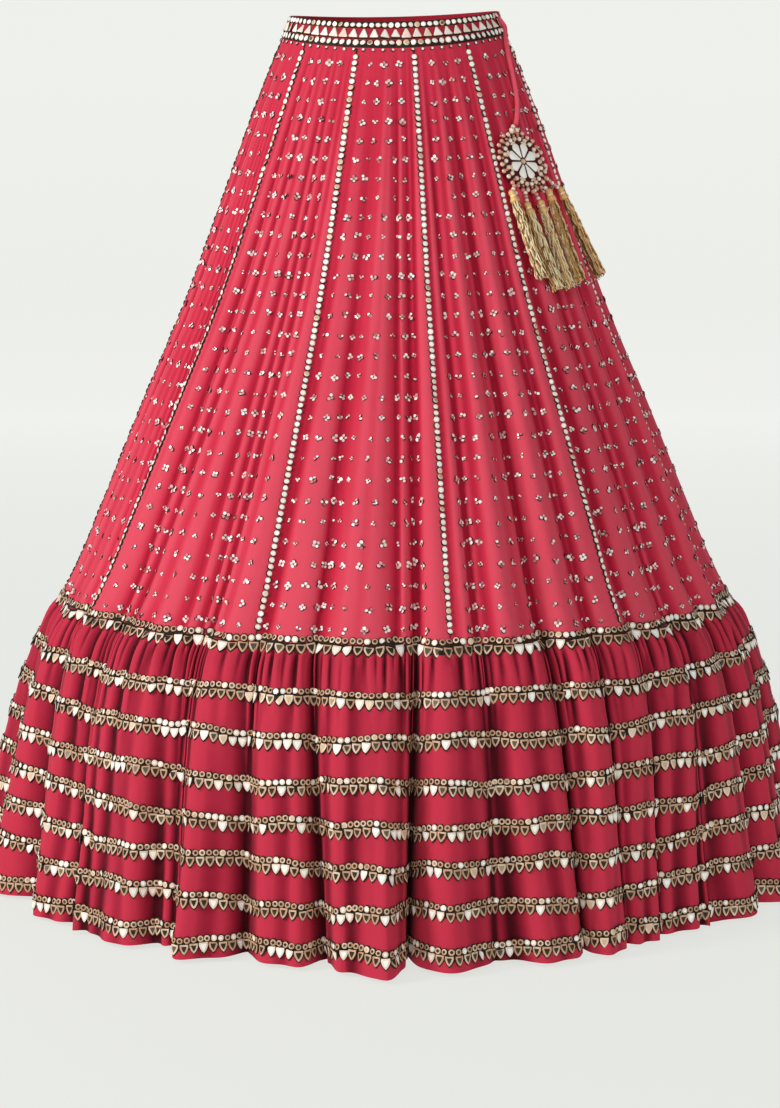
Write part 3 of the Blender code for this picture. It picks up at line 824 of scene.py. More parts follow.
class NodeTree:
    """A material's nodes, with one method that adds any of them."""

    def __init__(self, name: str) -> None:
        """Start a material with a Principled shader."""
        self.material = bpy.data.materials.new(name)
        self.material.use_nodes = True
        self.nodes = self.material.node_tree.nodes
        self.links = self.material.node_tree.links
        self.shader = self.nodes["Principled BSDF"]

    def node(self, kind: str, settings: dict | None = None, inputs: dict | None = None,
             output: int | str = 0) -> Sock:
        """Add a node.

        Args:
            kind: The node's type.
            settings: Its properties, and the stops of a colour ramp as "stops".
            inputs: Values or sockets for its inputs, by name or number.
            output: Which output to give back.

        Returns:
            The wrapped output.
        """
        made = self.nodes.new(kind)
        for key, value in (settings or {}).items():
            if key == "stops":
                ramp = made.color_ramp
                while len(ramp.elements) < len(value):
                    ramp.elements.new(0.5)
                for element, (place, colour) in zip(ramp.elements, value):
                    element.position = place
                    element.color = (*colour, 1.0)
            else:
                setattr(made, key, value)
        for key, value in (inputs or {}).items():
            self.feed(made.inputs[key], value)
        return Sock(self, made.outputs[output])

    def feed(self, target: bpy.types.NodeSocket, value: "Sock | float | Sequence[float]") -> None:
        """Link or set one input."""
        if isinstance(value, Sock):
            self.links.new(value.socket, target)
        elif hasattr(value, "__len__") and len(value) == 3 and target.type == "RGBA":
            target.default_value = (*value, 1.0)
        else:
            target.default_value = value

    def set(self, **inputs: "Sock | float | Sequence[float]") -> bpy.types.Material:
        """Feed the shader's own sockets, named with underscores for spaces."""
        for key, value in inputs.items():
            self.feed(self.shader.inputs[key.replace("_", " ")], value)
        return self.material

    def place(self) -> Sock:
        """Object coordinates."""
        return self.node("ShaderNodeTexCoord", output="Object")

    def cloth_uv(self) -> Sock:
        """The piece's own UV map."""
        return self.node("ShaderNodeUVMap", {"uv_map": "cloth"})

    def attribute(self, name: str) -> Sock:
        """A number stored on the mesh."""
        return self.node("ShaderNodeAttribute", {"attribute_name": name}, output="Fac")

    def tint(self) -> Sock:
        """The tint of each face, from 0 to 1."""
        return self.attribute("tint")

    def parts(self, vector: Sock) -> tuple[Sock, Sock, Sock]:
        """The three parts of a vector."""
        made = self.node("ShaderNodeSeparateXYZ", inputs={"Vector": vector})
        return tuple(Sock(self, output) for output in made.socket.node.outputs)

    def noise(self, at: Sock, scale: float, detail: float = 2.0, rough: float = 0.5) -> Sock:
        """Noise around a half."""
        return self.node("ShaderNodeTexNoise", inputs={"Vector": at, "Scale": scale, "Detail": detail,
                                                       "Roughness": rough})

    def ramp(self, value: Sock, *stops: tuple[float, tuple[float, float, float]]) -> Sock:
        """A colour ramp over a value."""
        return self.node("ShaderNodeValToRGB", {"stops": stops}, {"Fac": value})

    def mix(self, factor: Sock | float, first: "Sock | Sequence[float]",
            second: "Sock | Sequence[float]") -> Sock:
        """Mix two colours."""
        return self.node("ShaderNodeMix", {"data_type": "RGBA"}, {0: factor, 6: first, 7: second}, 2)

    def bump(self, height: Sock, distance: float) -> Sock:
        """A bump from a height."""
        return self.node("ShaderNodeBump", inputs={"Strength": 1.0, "Distance": distance, "Height": height})


Colour = tuple[float, float, float]

BLACK: Colour = (0.0, 0.0, 0.0)
WHITE: Colour = (1.0, 1.0, 1.0)


@dataclass(frozen=True)
class Georgette:
    """Matt crepe cloth with pebbled yarns, its colour painted with shade in its valleys and with a highlight
    on its ridges.
    """

    name: str
    base: Colour
    # The ridge colour is a painted highlight, and deep is the painted shade of the valleys.
    ridge_highlight: Colour
    deep: Colour
    roughness: float = 0.80
    sheen: float = 0.06
    grain: float = 1500.0
    cloud: float = 5.0
    thread_pitch: float = 0.0009
    bump: float = 0.00022
    flat_cloth: bool = False

    def make(self) -> bpy.types.Material:
        """Build the material: yarns cross at the thread pitch, broken up by fine noise."""
        tree = NodeTree(self.name)
        at = tree.place()
        across, down, _ = tree.parts(tree.cloth_uv())
        pebble = tree.noise(at, self.grain, 2.0, 0.6)
        slub = tree.noise(at, 60.0, 3.0, 0.55)
        cloud = tree.noise(at, self.cloud, 3.0, 0.5)
        turns = math.tau / self.thread_pitch
        yarn = (across * turns).sine() * (down * turns).sine()
        height = pebble * 0.8 + yarn * 0.25 + slub * 0.5
        # Painted shade and highlight: the fold number darkens the valleys and pales the ridges.
        crease = 0.5 if self.flat_cloth else tree.attribute("crease")
        lay = crease + (cloud - 0.5) * 0.35 + (slub - 0.5) * 0.10
        colour = tree.ramp(lay, (0.12, self.deep), (0.5, self.base), (0.85, self.ridge_highlight))
        return tree.set(Base_Color=tree.mix(pebble * 0.25, colour, self.base),
                        Roughness=self.roughness + (slub - 0.5) * 0.12,
                        Sheen_Weight=self.sheen, Sheen_Roughness=0.45,
                        Sheen_Tint=(1.0, 0.55, 0.60), Specular_IOR_Level=0.12,
                        Normal=tree.bump(height, self.bump))


@dataclass(frozen=True)
class Thread:
    """Close rows of stitching in a dark or coloured thread."""

    name: str
    base: Colour
    light: Colour
    roughness: float = 0.6
    stitch: float = 700.0

    def make(self) -> bpy.types.Material:
        """Build the material: short twisted stitches as a fine noise in colour and bump."""
        tree = NodeTree(self.name)
        at = tree.place()
        twist = tree.noise(at, self.stitch, 2.0, 0.6)
        wear = tree.noise(at, 45.0, 2.0)
        colour = tree.mix(twist * 0.6 + wear * 0.4, self.base, self.light)
        return tree.set(Base_Color=colour, Roughness=self.roughness + (twist - 0.5) * 0.2,
                        Specular_IOR_Level=0.12, Normal=tree.bump(twist, 0.0004))


@dataclass(frozen=True)
class MetalRim:
    """Wound gilt thread round a mirror: pale gold with darker turns."""

    name: str
    base: Colour
    dark: Colour
    bright: Colour
    roughness: float = 0.34

    def make(self) -> bpy.types.Material:
        """Build the material: the tint of each mirror shifts it from dark to bright gold."""
        tree = NodeTree(self.name)
        at = tree.place()
        turns = tree.noise(at, 1900.0, 1.0)
        age = tree.noise(at, 120.0, 2.0)
        gold = tree.ramp(tree.tint() * 0.55 + age * 0.45, (0.25, self.dark), (0.5, self.base),
                         (0.75, self.bright))
        colour = tree.mix(turns * 0.35, gold, self.dark)
        return tree.set(Base_Color=colour, Metallic=0.10, Roughness=self.roughness + turns * 0.2,
                        Normal=tree.bump(turns, 0.0003))


@dataclass(frozen=True)
class MirrorGlass:
    """Small silvered mirrors whose colour is a painted reflection: most are painted with the bright room,
    some with the dark.
    """

    name: str
    # The dark and bright colours are painted reflections, and the last is the colour of a painted glow of the
    # room.
    dark: Colour = (0.009, 0.007, 0.006)
    olive: Colour = (0.13, 0.10, 0.06)
    gilt: Colour = (0.74, 0.54, 0.36)
    bright: Colour = (0.99, 0.975, 0.94)
    room_glow: Colour = (0.10, 0.099, 0.095)

    def make(self) -> bpy.types.Material:
        """Build the material: the tint picks the painted reflection that each mirror shows.

        The bright ones also glow a little with a painted reflection of the pale room in front of them.
        """
        tree = NodeTree(self.name)
        film = tree.noise(tree.place(), 420.0, 2.0)
        # Painted reflection: the tint picks each mirror's glass colour, dark for a painted dark reflection
        # and bright for the painted pale room
        painted_reflection = tree.ramp(tree.tint(), (0.0, self.dark), (0.31, self.dark), (0.34, self.olive),
                           (0.40, self.olive), (0.43, self.gilt), (0.49, self.gilt), (0.52, self.bright),
                           (1.0, self.bright))
        colour = tree.mix(film * 0.35, painted_reflection, tree.mix(0.75, self.gilt, painted_reflection))
        # Painted reflection that glows: the bright mirrors give out a little of the pale room's colour
        painted_room_glow = tree.ramp(tree.tint(), (0.50, BLACK), (0.54, self.room_glow))
        return tree.set(Base_Color=colour, Metallic=0.06, Roughness=0.16 + film * 0.18,
                        Specular_IOR_Level=0.22, Coat_Weight=tree.tint().above(0.42) * 0.45,
                        Emission_Color=painted_room_glow, Emission_Strength=1.0)


@dataclass(frozen=True)
class Tinted:
    """A finish whose colour runs through three stops with the tint of each face.

    share is how much of the run is the tint's own, and a fine noise gives the rest.
    roughness is its least value and how much the noise adds to it.
    """

    name: str
    stops: tuple[tuple[float, Colour], ...]
    scale: float
    share: float
    roughness: tuple[float, float]
    metallic: float = 0.0
    coat: float = 0.0
    grain: float = 0.5
    relief: float = 0.0

    def make(self) -> bpy.types.Material:
        """Build the material: one noise breaks up colour, gloss and, where it has one, relief."""
        tree = NodeTree(self.name)
        film = tree.noise(tree.place(), self.scale, 2.0, self.grain)
        if self.relief:
            tree.set(Normal=tree.bump(film, self.relief))
        run = tree.tint() * self.share + film * (1.0 - self.share)
        return tree.set(Base_Color=tree.ramp(run, *self.stops),
                        Roughness=self.roughness[0] + film * self.roughness[1],
                        Metallic=self.metallic, Coat_Weight=self.coat)


# Cupped sequins from dull to cream, glossy beads from coral to pearl, and gold thread whose strands run from
# dark to bright, partly the yarn's own tone and partly painted shade and highlight
SEQUINS = Tinted(
    "cream_sequins", ((0.18, (0.50, 0.16, 0.16)), (0.45, (0.94, 0.62, 0.58)), (0.72, (1.0, 0.92, 0.88))),
    scale=700.0, share=0.8, roughness=(0.25, 0.2), coat=0.35)
BEADS = Tinted(
    "coral_beads", ((0.2, (0.58, 0.17, 0.12)), (0.5, (0.80, 0.44, 0.30)), (0.8, (0.95, 0.86, 0.74))),
    scale=300.0, share=0.85, roughness=(0.16, 0.15), metallic=0.15, coat=0.5)
TASSEL_GOLD = Tinted(
    "gold_tassel_thread",
    ((0.22, (0.17, 0.065, 0.018)), (0.45, (0.88, 0.52, 0.19)), (0.72, (1.0, 0.87, 0.55))),
    scale=520.0, share=0.65, roughness=(0.34, 0.25), metallic=0.12, grain=0.6, relief=0.0003)


@dataclass(frozen=True)
class Paper:
    """The studio's pale sweep, a little lighter on its wall than on its floor."""

    name: str = "studio_sweep"
    colour: Colour = (0.15, 0.151, 0.146)
    shade: Colour = (0.1425, 0.1435, 0.1385)
    floor_light: Colour = (0.689, 0.705, 0.671)
    middle_light: Colour = (0.745, 0.757, 0.724)
    far_light: Colour = (0.800, 0.809, 0.776)
    wall_light: Colour = (0.786, 0.796, 0.758)
    depth: float = 8.0
    floor_z: float = -1.10
    rise: float = 0.5

    def make(self) -> bpy.types.Material:
        """Build the material: its own light grows to the back of the floor and up the wall."""
        tree = NodeTree(self.name)
        at = tree.place()
        soft = tree.noise(at, 1.3, 1.0)
        _, deep, high = tree.parts(at)
        up = tree.ramp((high - self.floor_z) * (1.0 / self.rise), (0.0, BLACK), (1.0, WHITE))
        floor = tree.ramp(deep * (1.0 / self.depth), (0.0, self.floor_light), (0.5, self.middle_light),
                          (1.0, self.far_light))
        tone = tree.mix(soft * 0.2, self.colour, self.shade)
        light = tree.mix(up, floor, self.wall_light)
        return tree.set(Base_Color=tone, Emission_Color=light, Emission_Strength=1.0,
                        Roughness=0.9, Specular_IOR_Level=0.1)


@dataclass
class Finishes:
    """Every material of the skirt, made once."""

    panel: bpy.types.Material
    ruffle: bpy.types.Material
    band: bpy.types.Material
    cord: bpy.types.Material
    worked: list[bpy.types.Material]
    scattered: list[bpy.types.Material]
    beads: list[bpy.types.Material]
    gold: bpy.types.Material

    @classmethod
    def make(cls) -> "Finishes":
        """Make the materials."""
        thread = Thread("dark_thread", (0.012, 0.007, 0.006), (0.050, 0.030, 0.022)).make()
        rim = MetalRim("gilt_rim", (0.98, 0.79, 0.59), (0.58, 0.34, 0.20), (1.0, 0.95, 0.87)).make()
        glass = MirrorGlass("mirror_glass").make()
        sequin = SEQUINS.make()
        maroon = Thread("maroon_thread", (0.050, 0.006, 0.009), (0.13, 0.014, 0.020)).make()
        return cls(
            panel=Georgette("panel_georgette", (0.63, 0.028, 0.066), (0.74, 0.080, 0.125),
                            (0.38, 0.006, 0.028)).make(),
            ruffle=Georgette("ruffle_georgette", (0.33, 0.011, 0.034), (0.61, 0.036, 0.074),
                             (0.038, 0.0008, 0.0032)).make(),
            band=Georgette("waistband_georgette", (0.42, 0.020, 0.040), (0.52, 0.040, 0.065),
                           (0.22, 0.008, 0.016)).make(),
            cord=Georgette("cord_georgette", (0.93, 0.11, 0.17), (1.0, 0.21, 0.27),
                           (0.60, 0.03, 0.06), grain=1900.0, flat_cloth=True).make(),
            worked=[thread, rim, glass, sequin],
            scattered=[maroon, rim, glass, sequin],
            beads=[maroon, rim, glass, BEADS.make()],
            gold=TASSEL_GOLD.make())


# The cloth


def finish_piece(item: bpy.types.Object, nodes: Sequence[str] = ()) -> bpy.types.Object:
    """Ride a piece on the skirt's body and hide the solids it stands for."""
    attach(item, BODY)
    if nodes:
        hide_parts(*nodes)
    LOG.info("%s: %d triangles", item.name, triangles(item))
    return item


def fold_shade_share(surface: Surface, columns: Array, share: Array,
                 reaches: Sequence[tuple[float, float]]) -> Array:
    """How far each point of the cloth is a ridge or a valley, from 0 for deep to 1 for high, for the painted
    shade of valleys and the painted highlight of ridges.

    Formula: for each reach, the point's height over the chord between the two points that
    far along its row, over the chord's length, times a gain; flat cloth is one half.

    Args:
        surface: The cloth.
        columns: Column of each point.
        share: Share of each point.
        reaches: Rows of reach in degrees and gain.

    Returns:
        A number for each point.
    """
    middle = surface(columns, share)
    total = np.full(middle.shape[:-1], 0.5)
    for reach, gain in reaches:
        left = surface(columns - reach, share)
        right = surface(columns + reach, share)
        chord = right - left
        out = np.stack([chord[..., 1], -chord[..., 0], 0.0 * chord[..., 2]], axis=-1)
        out /= np.linalg.norm(out, axis=-1, keepdims=True)
        rise = np.sum((middle - (left + right) / 2.0) * out, axis=-1)
        total += gain * rise / np.linalg.norm(chord, axis=-1)
    return np.clip(total, 0.0, 1.0)


def cloth_shell(name: str, points: Array, crease: Array, material: bpy.types.Material,
                thickness: float) -> bpy.types.Object:
    """A thin shell under an outer face of rows by columns points.

    The UV map holds metres along and down the cloth, measured on its middle row and column.
    The rim's edges are kept sharp, so that no shade runs along a seam.

    Args:
        name: The piece's name.
        points: Its outer face.
        crease: How far each point is a ridge or a valley, stored for the painted shade and highlight of its
            colour.
        material: Its finish.
        thickness: The shell's thickness.

    Returns:
        The piece.
    """
    rows, columns = points.shape[:2]
    uv = np.stack(np.meshgrid(run_along(points[rows // 2]), run_along(points[:, columns // 2])), axis=-1)
    parts = MeshParts()
    parts.add(points, [grid_faces(rows, columns)], [0], [0.5], uv)
    item = parts.build(name, [material], smooth=True)
    mesh = item.data
    # Painted shade and highlight: the ridge or valley number that the cloth's colour reads
    fold_shade_layer = mesh.attributes.new("crease", "FLOAT", "POINT")
    fold_shade_layer.data.foreach_set("value", crease.astype(np.float32).ravel())
    of_corner = np.empty(len(mesh.loops), dtype=np.int32)
    mesh.loops.foreach_get("edge_index", of_corner)
    rim = np.bincount(of_corner, minlength=len(mesh.edges)) == 1
    mesh.edges.foreach_set("use_edge_sharp", rim)
    solid = item.modifiers.new("cloth", "SOLIDIFY")
    solid.thickness = thickness
    solid.offset = -1.0
    return item


def cloth_size(points: Array) -> tuple[float, float, float]:
    """Widest row, longest column and area of a grid of points, in metres."""
    across = np.linalg.norm(np.diff(points, axis=1), axis=2)
    down = np.linalg.norm(np.diff(points, axis=0), axis=2)
    area = float((across[:-1] * down[:, :-1]).sum())
    return float(across.sum(axis=1).max()), float(down.sum(axis=0).max()), area


@dataclass
class Skirt:
    """The cloth pieces: waistband, panels and ruffle."""

    finishes: Finishes
    cloth_thickness: float = 0.0013
    band_thickness: float = 0.0024
    panel_columns: int = 56
    panel_rows: int = 40
    ruffle_columns: int = 330
    ruffle_rows: int = 32
    ruffle_widths: int = 6
    row_crowding: float = 1.5
    band_columns: int = 170
    band_rows: int = 9
    band_puff: float = 0.0006
    band_margin: float = 4.0
    band_trim: float = 0.1
    edge_trim: float = 0.004
    # Reach in degrees and gain of each size of crease, for the painted shade of valleys and the painted
    # highlight of ridges
    panel_shade_reaches: tuple[tuple[float, float], ...] = ((0.8, 1.6), (2.2, 1.4), (4.5, 0.6))
    ruffle_shade_reaches: tuple[tuple[float, float], ...] = ((0.35, 1.6), (1.2, 1.5), (4.5, 0.55))

    def lay(self, node: str, slot: Slot, points: Array, crease: Array, material: bpy.types.Material,
            thickness: float) -> tuple[bpy.types.Object, tuple[float, float], float]:
        """Make one length of cloth in place of its solid.

        Args:
            node: The solid that it stands for.
            slot: Not used.
            points: Its outer face.
            crease: How far each point is a ridge or a valley, for the painted shade and highlight of its
                colour.
            material: Its finish.
            thickness: Its thickness.

        Returns:
            The piece, its flat width and length, and its flat area.
        """
        item = finish_piece(cloth_shell("cloth_" + node, points, crease, material, thickness), [node])
        wide, long, area = cloth_size(points)
        return item, (round(wide, 3), round(long, 3)), round(area, 4)

    def panels(self) -> None:
        """Twelve panels, each a grid between two seams."""
        share = np.linspace(0.0, 1.0, self.panel_rows)
        for number, (start, end) in enumerate(FORM.panel_bounds(), start=1):
            at, down = spread(
                np.linspace(start + self.edge_trim, end - self.edge_trim, self.panel_columns), share)
            item, flat, area = self.lay(
                f"panel_{number:02d}", Slot.PANEL, FORM.panel(at, down),
                fold_shade_share(FORM.panel, at, down, self.panel_shade_reaches), self.finishes.panel,
                self.cloth_thickness)

    def ruffle(self) -> None:
        """The gathered tier, rows crowded towards its seam where the gathers are."""
        share = np.linspace(0.0, 1.0, self.ruffle_rows) ** self.row_crowding
        span = FULL_TURN / self.ruffle_widths
        for number in range(self.ruffle_widths):
            start = FOLDS[0].seam + number * span
            at, down = spread(np.linspace(start + self.edge_trim, start + span - self.edge_trim,
                                          self.ruffle_columns), share)
            item, flat, _ = self.lay(
                f"ruffle_width_{number + 1}", Slot.RUFFLE, FORM.ruffle(at, down),
                fold_shade_share(FORM.ruffle, at, down, self.ruffle_shade_reaches), self.finishes.ruffle,
                self.cloth_thickness)

    def waistband(self) -> None:
        """The two lengths of the band, parted at the side opening."""
        share = np.linspace(0.0, 1.0, self.band_rows)
        for side, start, end in FORM.band_spans(self.band_margin):
            at, down = spread(
                np.linspace(start + self.band_trim, end - self.band_trim, self.band_columns), share)
            points = FORM.band(at, down, self.band_puff * np.sin(math.pi * down))
            item, flat, area = self.lay(
                f"waistband_{side}", Slot.WAISTBAND, points, np.full(at.shape, 0.5), self.finishes.band,
                self.band_thickness)


# Mirror work


@dataclass(frozen=True)
class BandSizes:
    """Sizes of one worked band: its round mirrors, its drops and the braid between them."""

    round_radius: float
    round_pitch: float
    drop_width: float
    drop_height: float
    drop_pitch: float
    rim: float = 0.0013
    drop_rim: float = 0.0017
    rim_height: float = 0.0011
    halo: float = 0.0017
    braid_half: float = 0.0006
    braid_height: float = 0.0015

    @property
    def round_above(self) -> float:
        """How far the round mirrors' middles are above the braid."""
        return self.braid_half + self.round_radius * 0.94

    @property
    def drop_below(self) -> float:
        """How far the drops' middles are below the braid."""
        return self.braid_half + self.drop_height * 0.445

    @property
    def ground_above(self) -> float:
        """How far the dark ground reaches above the braid."""
        return self.round_above + self.round_radius * 0.70

    @property
    def ground_below(self) -> float:
        """How far the dark ground reaches below the braid, to the drops' shoulders."""
        return self.drop_below + self.drop_height * 0.13


SEAM_BAND = BandSizes(0.0037, 0.0086, 0.0114, 0.0126, 0.0129)
LOWER_BAND = BandSizes(0.0034, 0.0079, 0.0100, 0.0113, 0.0114)


@dataclass
class RuffleBands:
    """The worked bands of the ruffle: a row of round mirrors, a braid and a row of drops."""

    finishes: Finishes
    lift: float = 0.0009
    ribbon_columns: int = 900
    tilt: float = 7.0
    reach: float = 0.75
    step: float = 0.0040
    darkness: float = 2.4
    ground_height: float = 0.0008
    ground_edge: float = 0.0005
    # How far each band rises for each metre that its fold stands out
    rises: tuple[float, ...] = (0.0, 0.16, 0.20, 0.22, 0.22, 0.20, 0.14, 0.05)

    # Size, count round the skirt and phase step of each wave of a band's wander
    wanders: tuple[tuple[float, float, float], ...] = (
        (0.0026, 9.0, 1.7), (0.0013, 26.0, 2.9), (0.0011, 61.0, 0.8))
    wander_at_seam: float = 0.25
    wander_growth: float = 0.3
    samples: int = 9000
    sizes: tuple[float, float] = (0.88, 1.0)

    def wander(self, column: Array, number: int) -> Array:
        """Vertical wander of a band, a few millimetres, as gathered cloth hangs unevenly.

        Formula: three slow waves in the bearing, less the fold's outward step times a rise,
        because the cloth hangs a little shorter over a fold that stands out.

        Args:
            column: Bearing at the ruffle seam.
            number: The band, from 0 at the seam.

        Returns:
            How far the band is below its own level.
        """
        share = BAND_DROPS[number] / (FORM.seam_z - FORM.hem_z)
        step = FORM.fold(column, share + 0.0 * column, 1.0 + 0.0 * column)[0]
        slow = waves(column, [(size, count, phase * number) for size, count, phase in self.wanders])
        return slow * min(1.0, self.wander_at_seam + self.wander_growth * number) - self.rises[number] * step

    def build(self) -> None:
        """Make each band as one piece: two rows of mirrors, the braid and the dark ground."""
        first = FOLDS[0].seam
        for number, base in enumerate(BAND_DROPS):
            sizes = LOWER_BAND if number else SEAM_BAND
            rounds = rimmed_stamp(round_outline(sizes.round_radius), sizes.rim, sizes.rim_height, sizes.halo)
            drops = rimmed_stamp(drop_outline(sizes.drop_width, sizes.drop_height), sizes.drop_rim,
                                 sizes.rim_height, sizes.halo)
            rng = np.random.default_rng(SEED + number)
            parts = MeshParts()

            def row(offset: float) -> Surface:
                """The drop of a line of the band at each column."""
                return lambda column: base + offset + self.wander(column, number)

            for offset, pitch, stamp in ((-sizes.round_above, sizes.round_pitch, rounds),
                                         (sizes.drop_below, sizes.drop_pitch, drops)):
                columns = even_columns(FORM.tier, row(offset), first, first + FULL_TURN, pitch, self.samples)
                frames = frames_on(FORM.tier, columns, row(offset)(columns), self.step,
                                   self.reach).lifted(self.lift)
                count = len(columns)
                stamp.press(parts, frames.tilted(rng, self.tilt), rng.uniform(*self.sizes, count),
                            rng.uniform(0.0, 1.0, count) ** self.darkness)
            columns = np.linspace(first, first + FULL_TURN, self.ribbon_columns)
            drop = row(0.0)(columns)
            ribbon(parts, FORM.tier, columns, drop - sizes.braid_half, drop + sizes.braid_half,
                   sizes.braid_height)
            ribbon(parts, FORM.tier, columns, drop - sizes.ground_above, drop + sizes.ground_below,
                   self.ground_height, self.ground_edge)
            finish_piece(parts.build(f"mirror_band_{number + 1}", self.finishes.worked, smooth=False))


# Width of a degree of the panels' columns, under the waistband and at the ruffle
METRES_A_DEGREE = (0.0025, 0.0100)


@dataclass
class PanelWork:
    """Mirrors along the panel seams and small diamonds of sequins over the panels."""

    finishes: Finishes
    seam_radius: float = 0.0032
    seam_pitch: float = 0.0083
    seam_rim: float = 0.0008
    seam_halo: float = 0.0012
    seam_half_width: float = 0.0026
    seam_start: float = 0.012
    seam_end: float = 0.985
    seam_rise: float = 0.0013
    seam_tilt: float = 8.0
    seam_sizes: tuple[float, float] = (0.95, 1.06)
    seam_darkness: float = 0.4
    strip_rise: float = 0.0007
    strip_span: tuple[float, float] = (0.002, 0.990)
    strip_samples: int = 150
    butti_rows: int = 29
    butti_pitch: float = 0.0190
    butti_first: float = 0.030
    butti_last: float = 0.978
    sequin_radius: float = 0.0021
    sequin_reach: float = 0.0029
    butti_margin: float = 0.012
    butti_stray: float = 0.0009
    butti_drop: float = 0.0012
    butti_turn: float = 0.30
    butti_sizes: tuple[float, float] = (0.58, 1.12)
    sequin_rise: float = 0.0005
    sequin_halo: float = 0.0006
    sequin_tilt: float = 13.0
    sequin_darkness: float = 1.25
    missing: float = 0.15
    lift: float = 0.0005

    def seam_share(self, column: Array) -> Array:
        """Even places down a seam, by length along the cloth."""
        share = np.linspace(self.seam_start, self.seam_end, 800)
        return middles(run_along(FORM.panel(column + 0.0 * share, share)), share, self.seam_pitch)

    def seams(self) -> None:
        """A narrow dark strip and a row of ringed mirrors over each seam."""
        stamp = rimmed_stamp(round_outline(self.seam_radius), self.seam_rim, self.seam_rise, self.seam_halo)
        parts = MeshParts()
        rng = np.random.default_rng(SEED + 31)
        for seam in FORM.seams:
            share = np.linspace(*self.strip_span, self.strip_samples)
            frames = frames_on(FORM.panel, seam[1] + 0.0 * share, share)
            across = np.array([-1.0, 0.0, 1.0]) * self.seam_half_width
            height = np.array([-SUNK, self.strip_rise, -SUNK])
            points = (frames.origin[:, None] + frames.along[:, None] * across[None, :, None]
                      + frames.out[:, None] * height[None, :, None])
            parts.add(points, [grid_faces(len(share), len(across))], [Layer.THREAD.value], [0.0])
            places = self.seam_share(np.array(seam[1]))
            frames = frames_on(FORM.panel, seam[1] + 0.0 * places, places).lifted(self.lift)
            stamp.press(parts, frames.tilted(rng, self.seam_tilt), rng.uniform(*self.seam_sizes, len(places)),
                        rng.uniform(0.1, 1.0, len(places)) ** self.seam_darkness)
        finish_piece(parts.build("mirror_seams", self.finishes.worked, smooth=False))

    def butti_places(self, rng: np.random.Generator) -> tuple[Array, Array]:
        """Rows of places, evenly spaced between the seams and a little off true.

        Args:
            rng: Gives how far each place is off true.

        Returns:
            The column and the share of each place.
        """
        columns, shares = [], []
        for share in np.linspace(self.butti_first, self.butti_last, self.butti_rows):
            for start, end in FORM.panel_bounds():
                fine = np.linspace(start, end, 240)
                run = run_along(FORM.panel(fine, share + 0.0 * fine))[-1]
                count = max(2, int(round((run - self.butti_margin) / self.butti_pitch)))
                edge = self.butti_margin / run
                places = np.linspace(edge, 1.0 - edge, 2 * count + 1)[1::2]
                columns.append(places * (end - start) + start)
                shares.append(np.full(count, share))
        column, share = np.concatenate(columns), np.concatenate(shares)
        degree = METRES_A_DEGREE[0] + (METRES_A_DEGREE[1] - METRES_A_DEGREE[0]) * share
        column = column + rng.normal(0.0, self.butti_stray, len(column)) / degree
        return column, share + rng.normal(0.0, self.butti_drop, len(share))

    def buttis(self) -> None:
        """Small diamonds of four sequins, each in a dark thread edge, with some lost."""
        rng = np.random.default_rng(SEED + 57)
        column, share = self.butti_places(rng)
        count = len(column)
        size = rng.uniform(*self.butti_sizes, count)
        frames = frames_on(FORM.panel, column, share).turned(rng.normal(0.0, self.butti_turn, count))
        parts = MeshParts()
        sequin = sequin_stamp(self.sequin_radius, self.sequin_rise, self.sequin_halo)
        for across, down in ((1.0, 0.0), (-1.0, 0.0), (0.0, 1.0), (0.0, -1.0)):
            keep = rng.random(count) > self.missing
            reach = self.sequin_reach * size * rng.uniform(0.85, 1.1, count)
            spots = frames.moved(reach * across, reach * down).lifted(self.lift)
            spots = spots.tilted(rng, self.sequin_tilt)
            sequin.press(parts, spots.chosen(keep), (size * rng.uniform(0.85, 1.12, count))[keep],
                         (rng.uniform(0.10, 1.0, count) ** self.sequin_darkness)[keep])
        finish_piece(parts.build("sequin_diamonds", self.finishes.scattered, smooth=False))
        LOG.info("diamonds of sequins: %d", count)


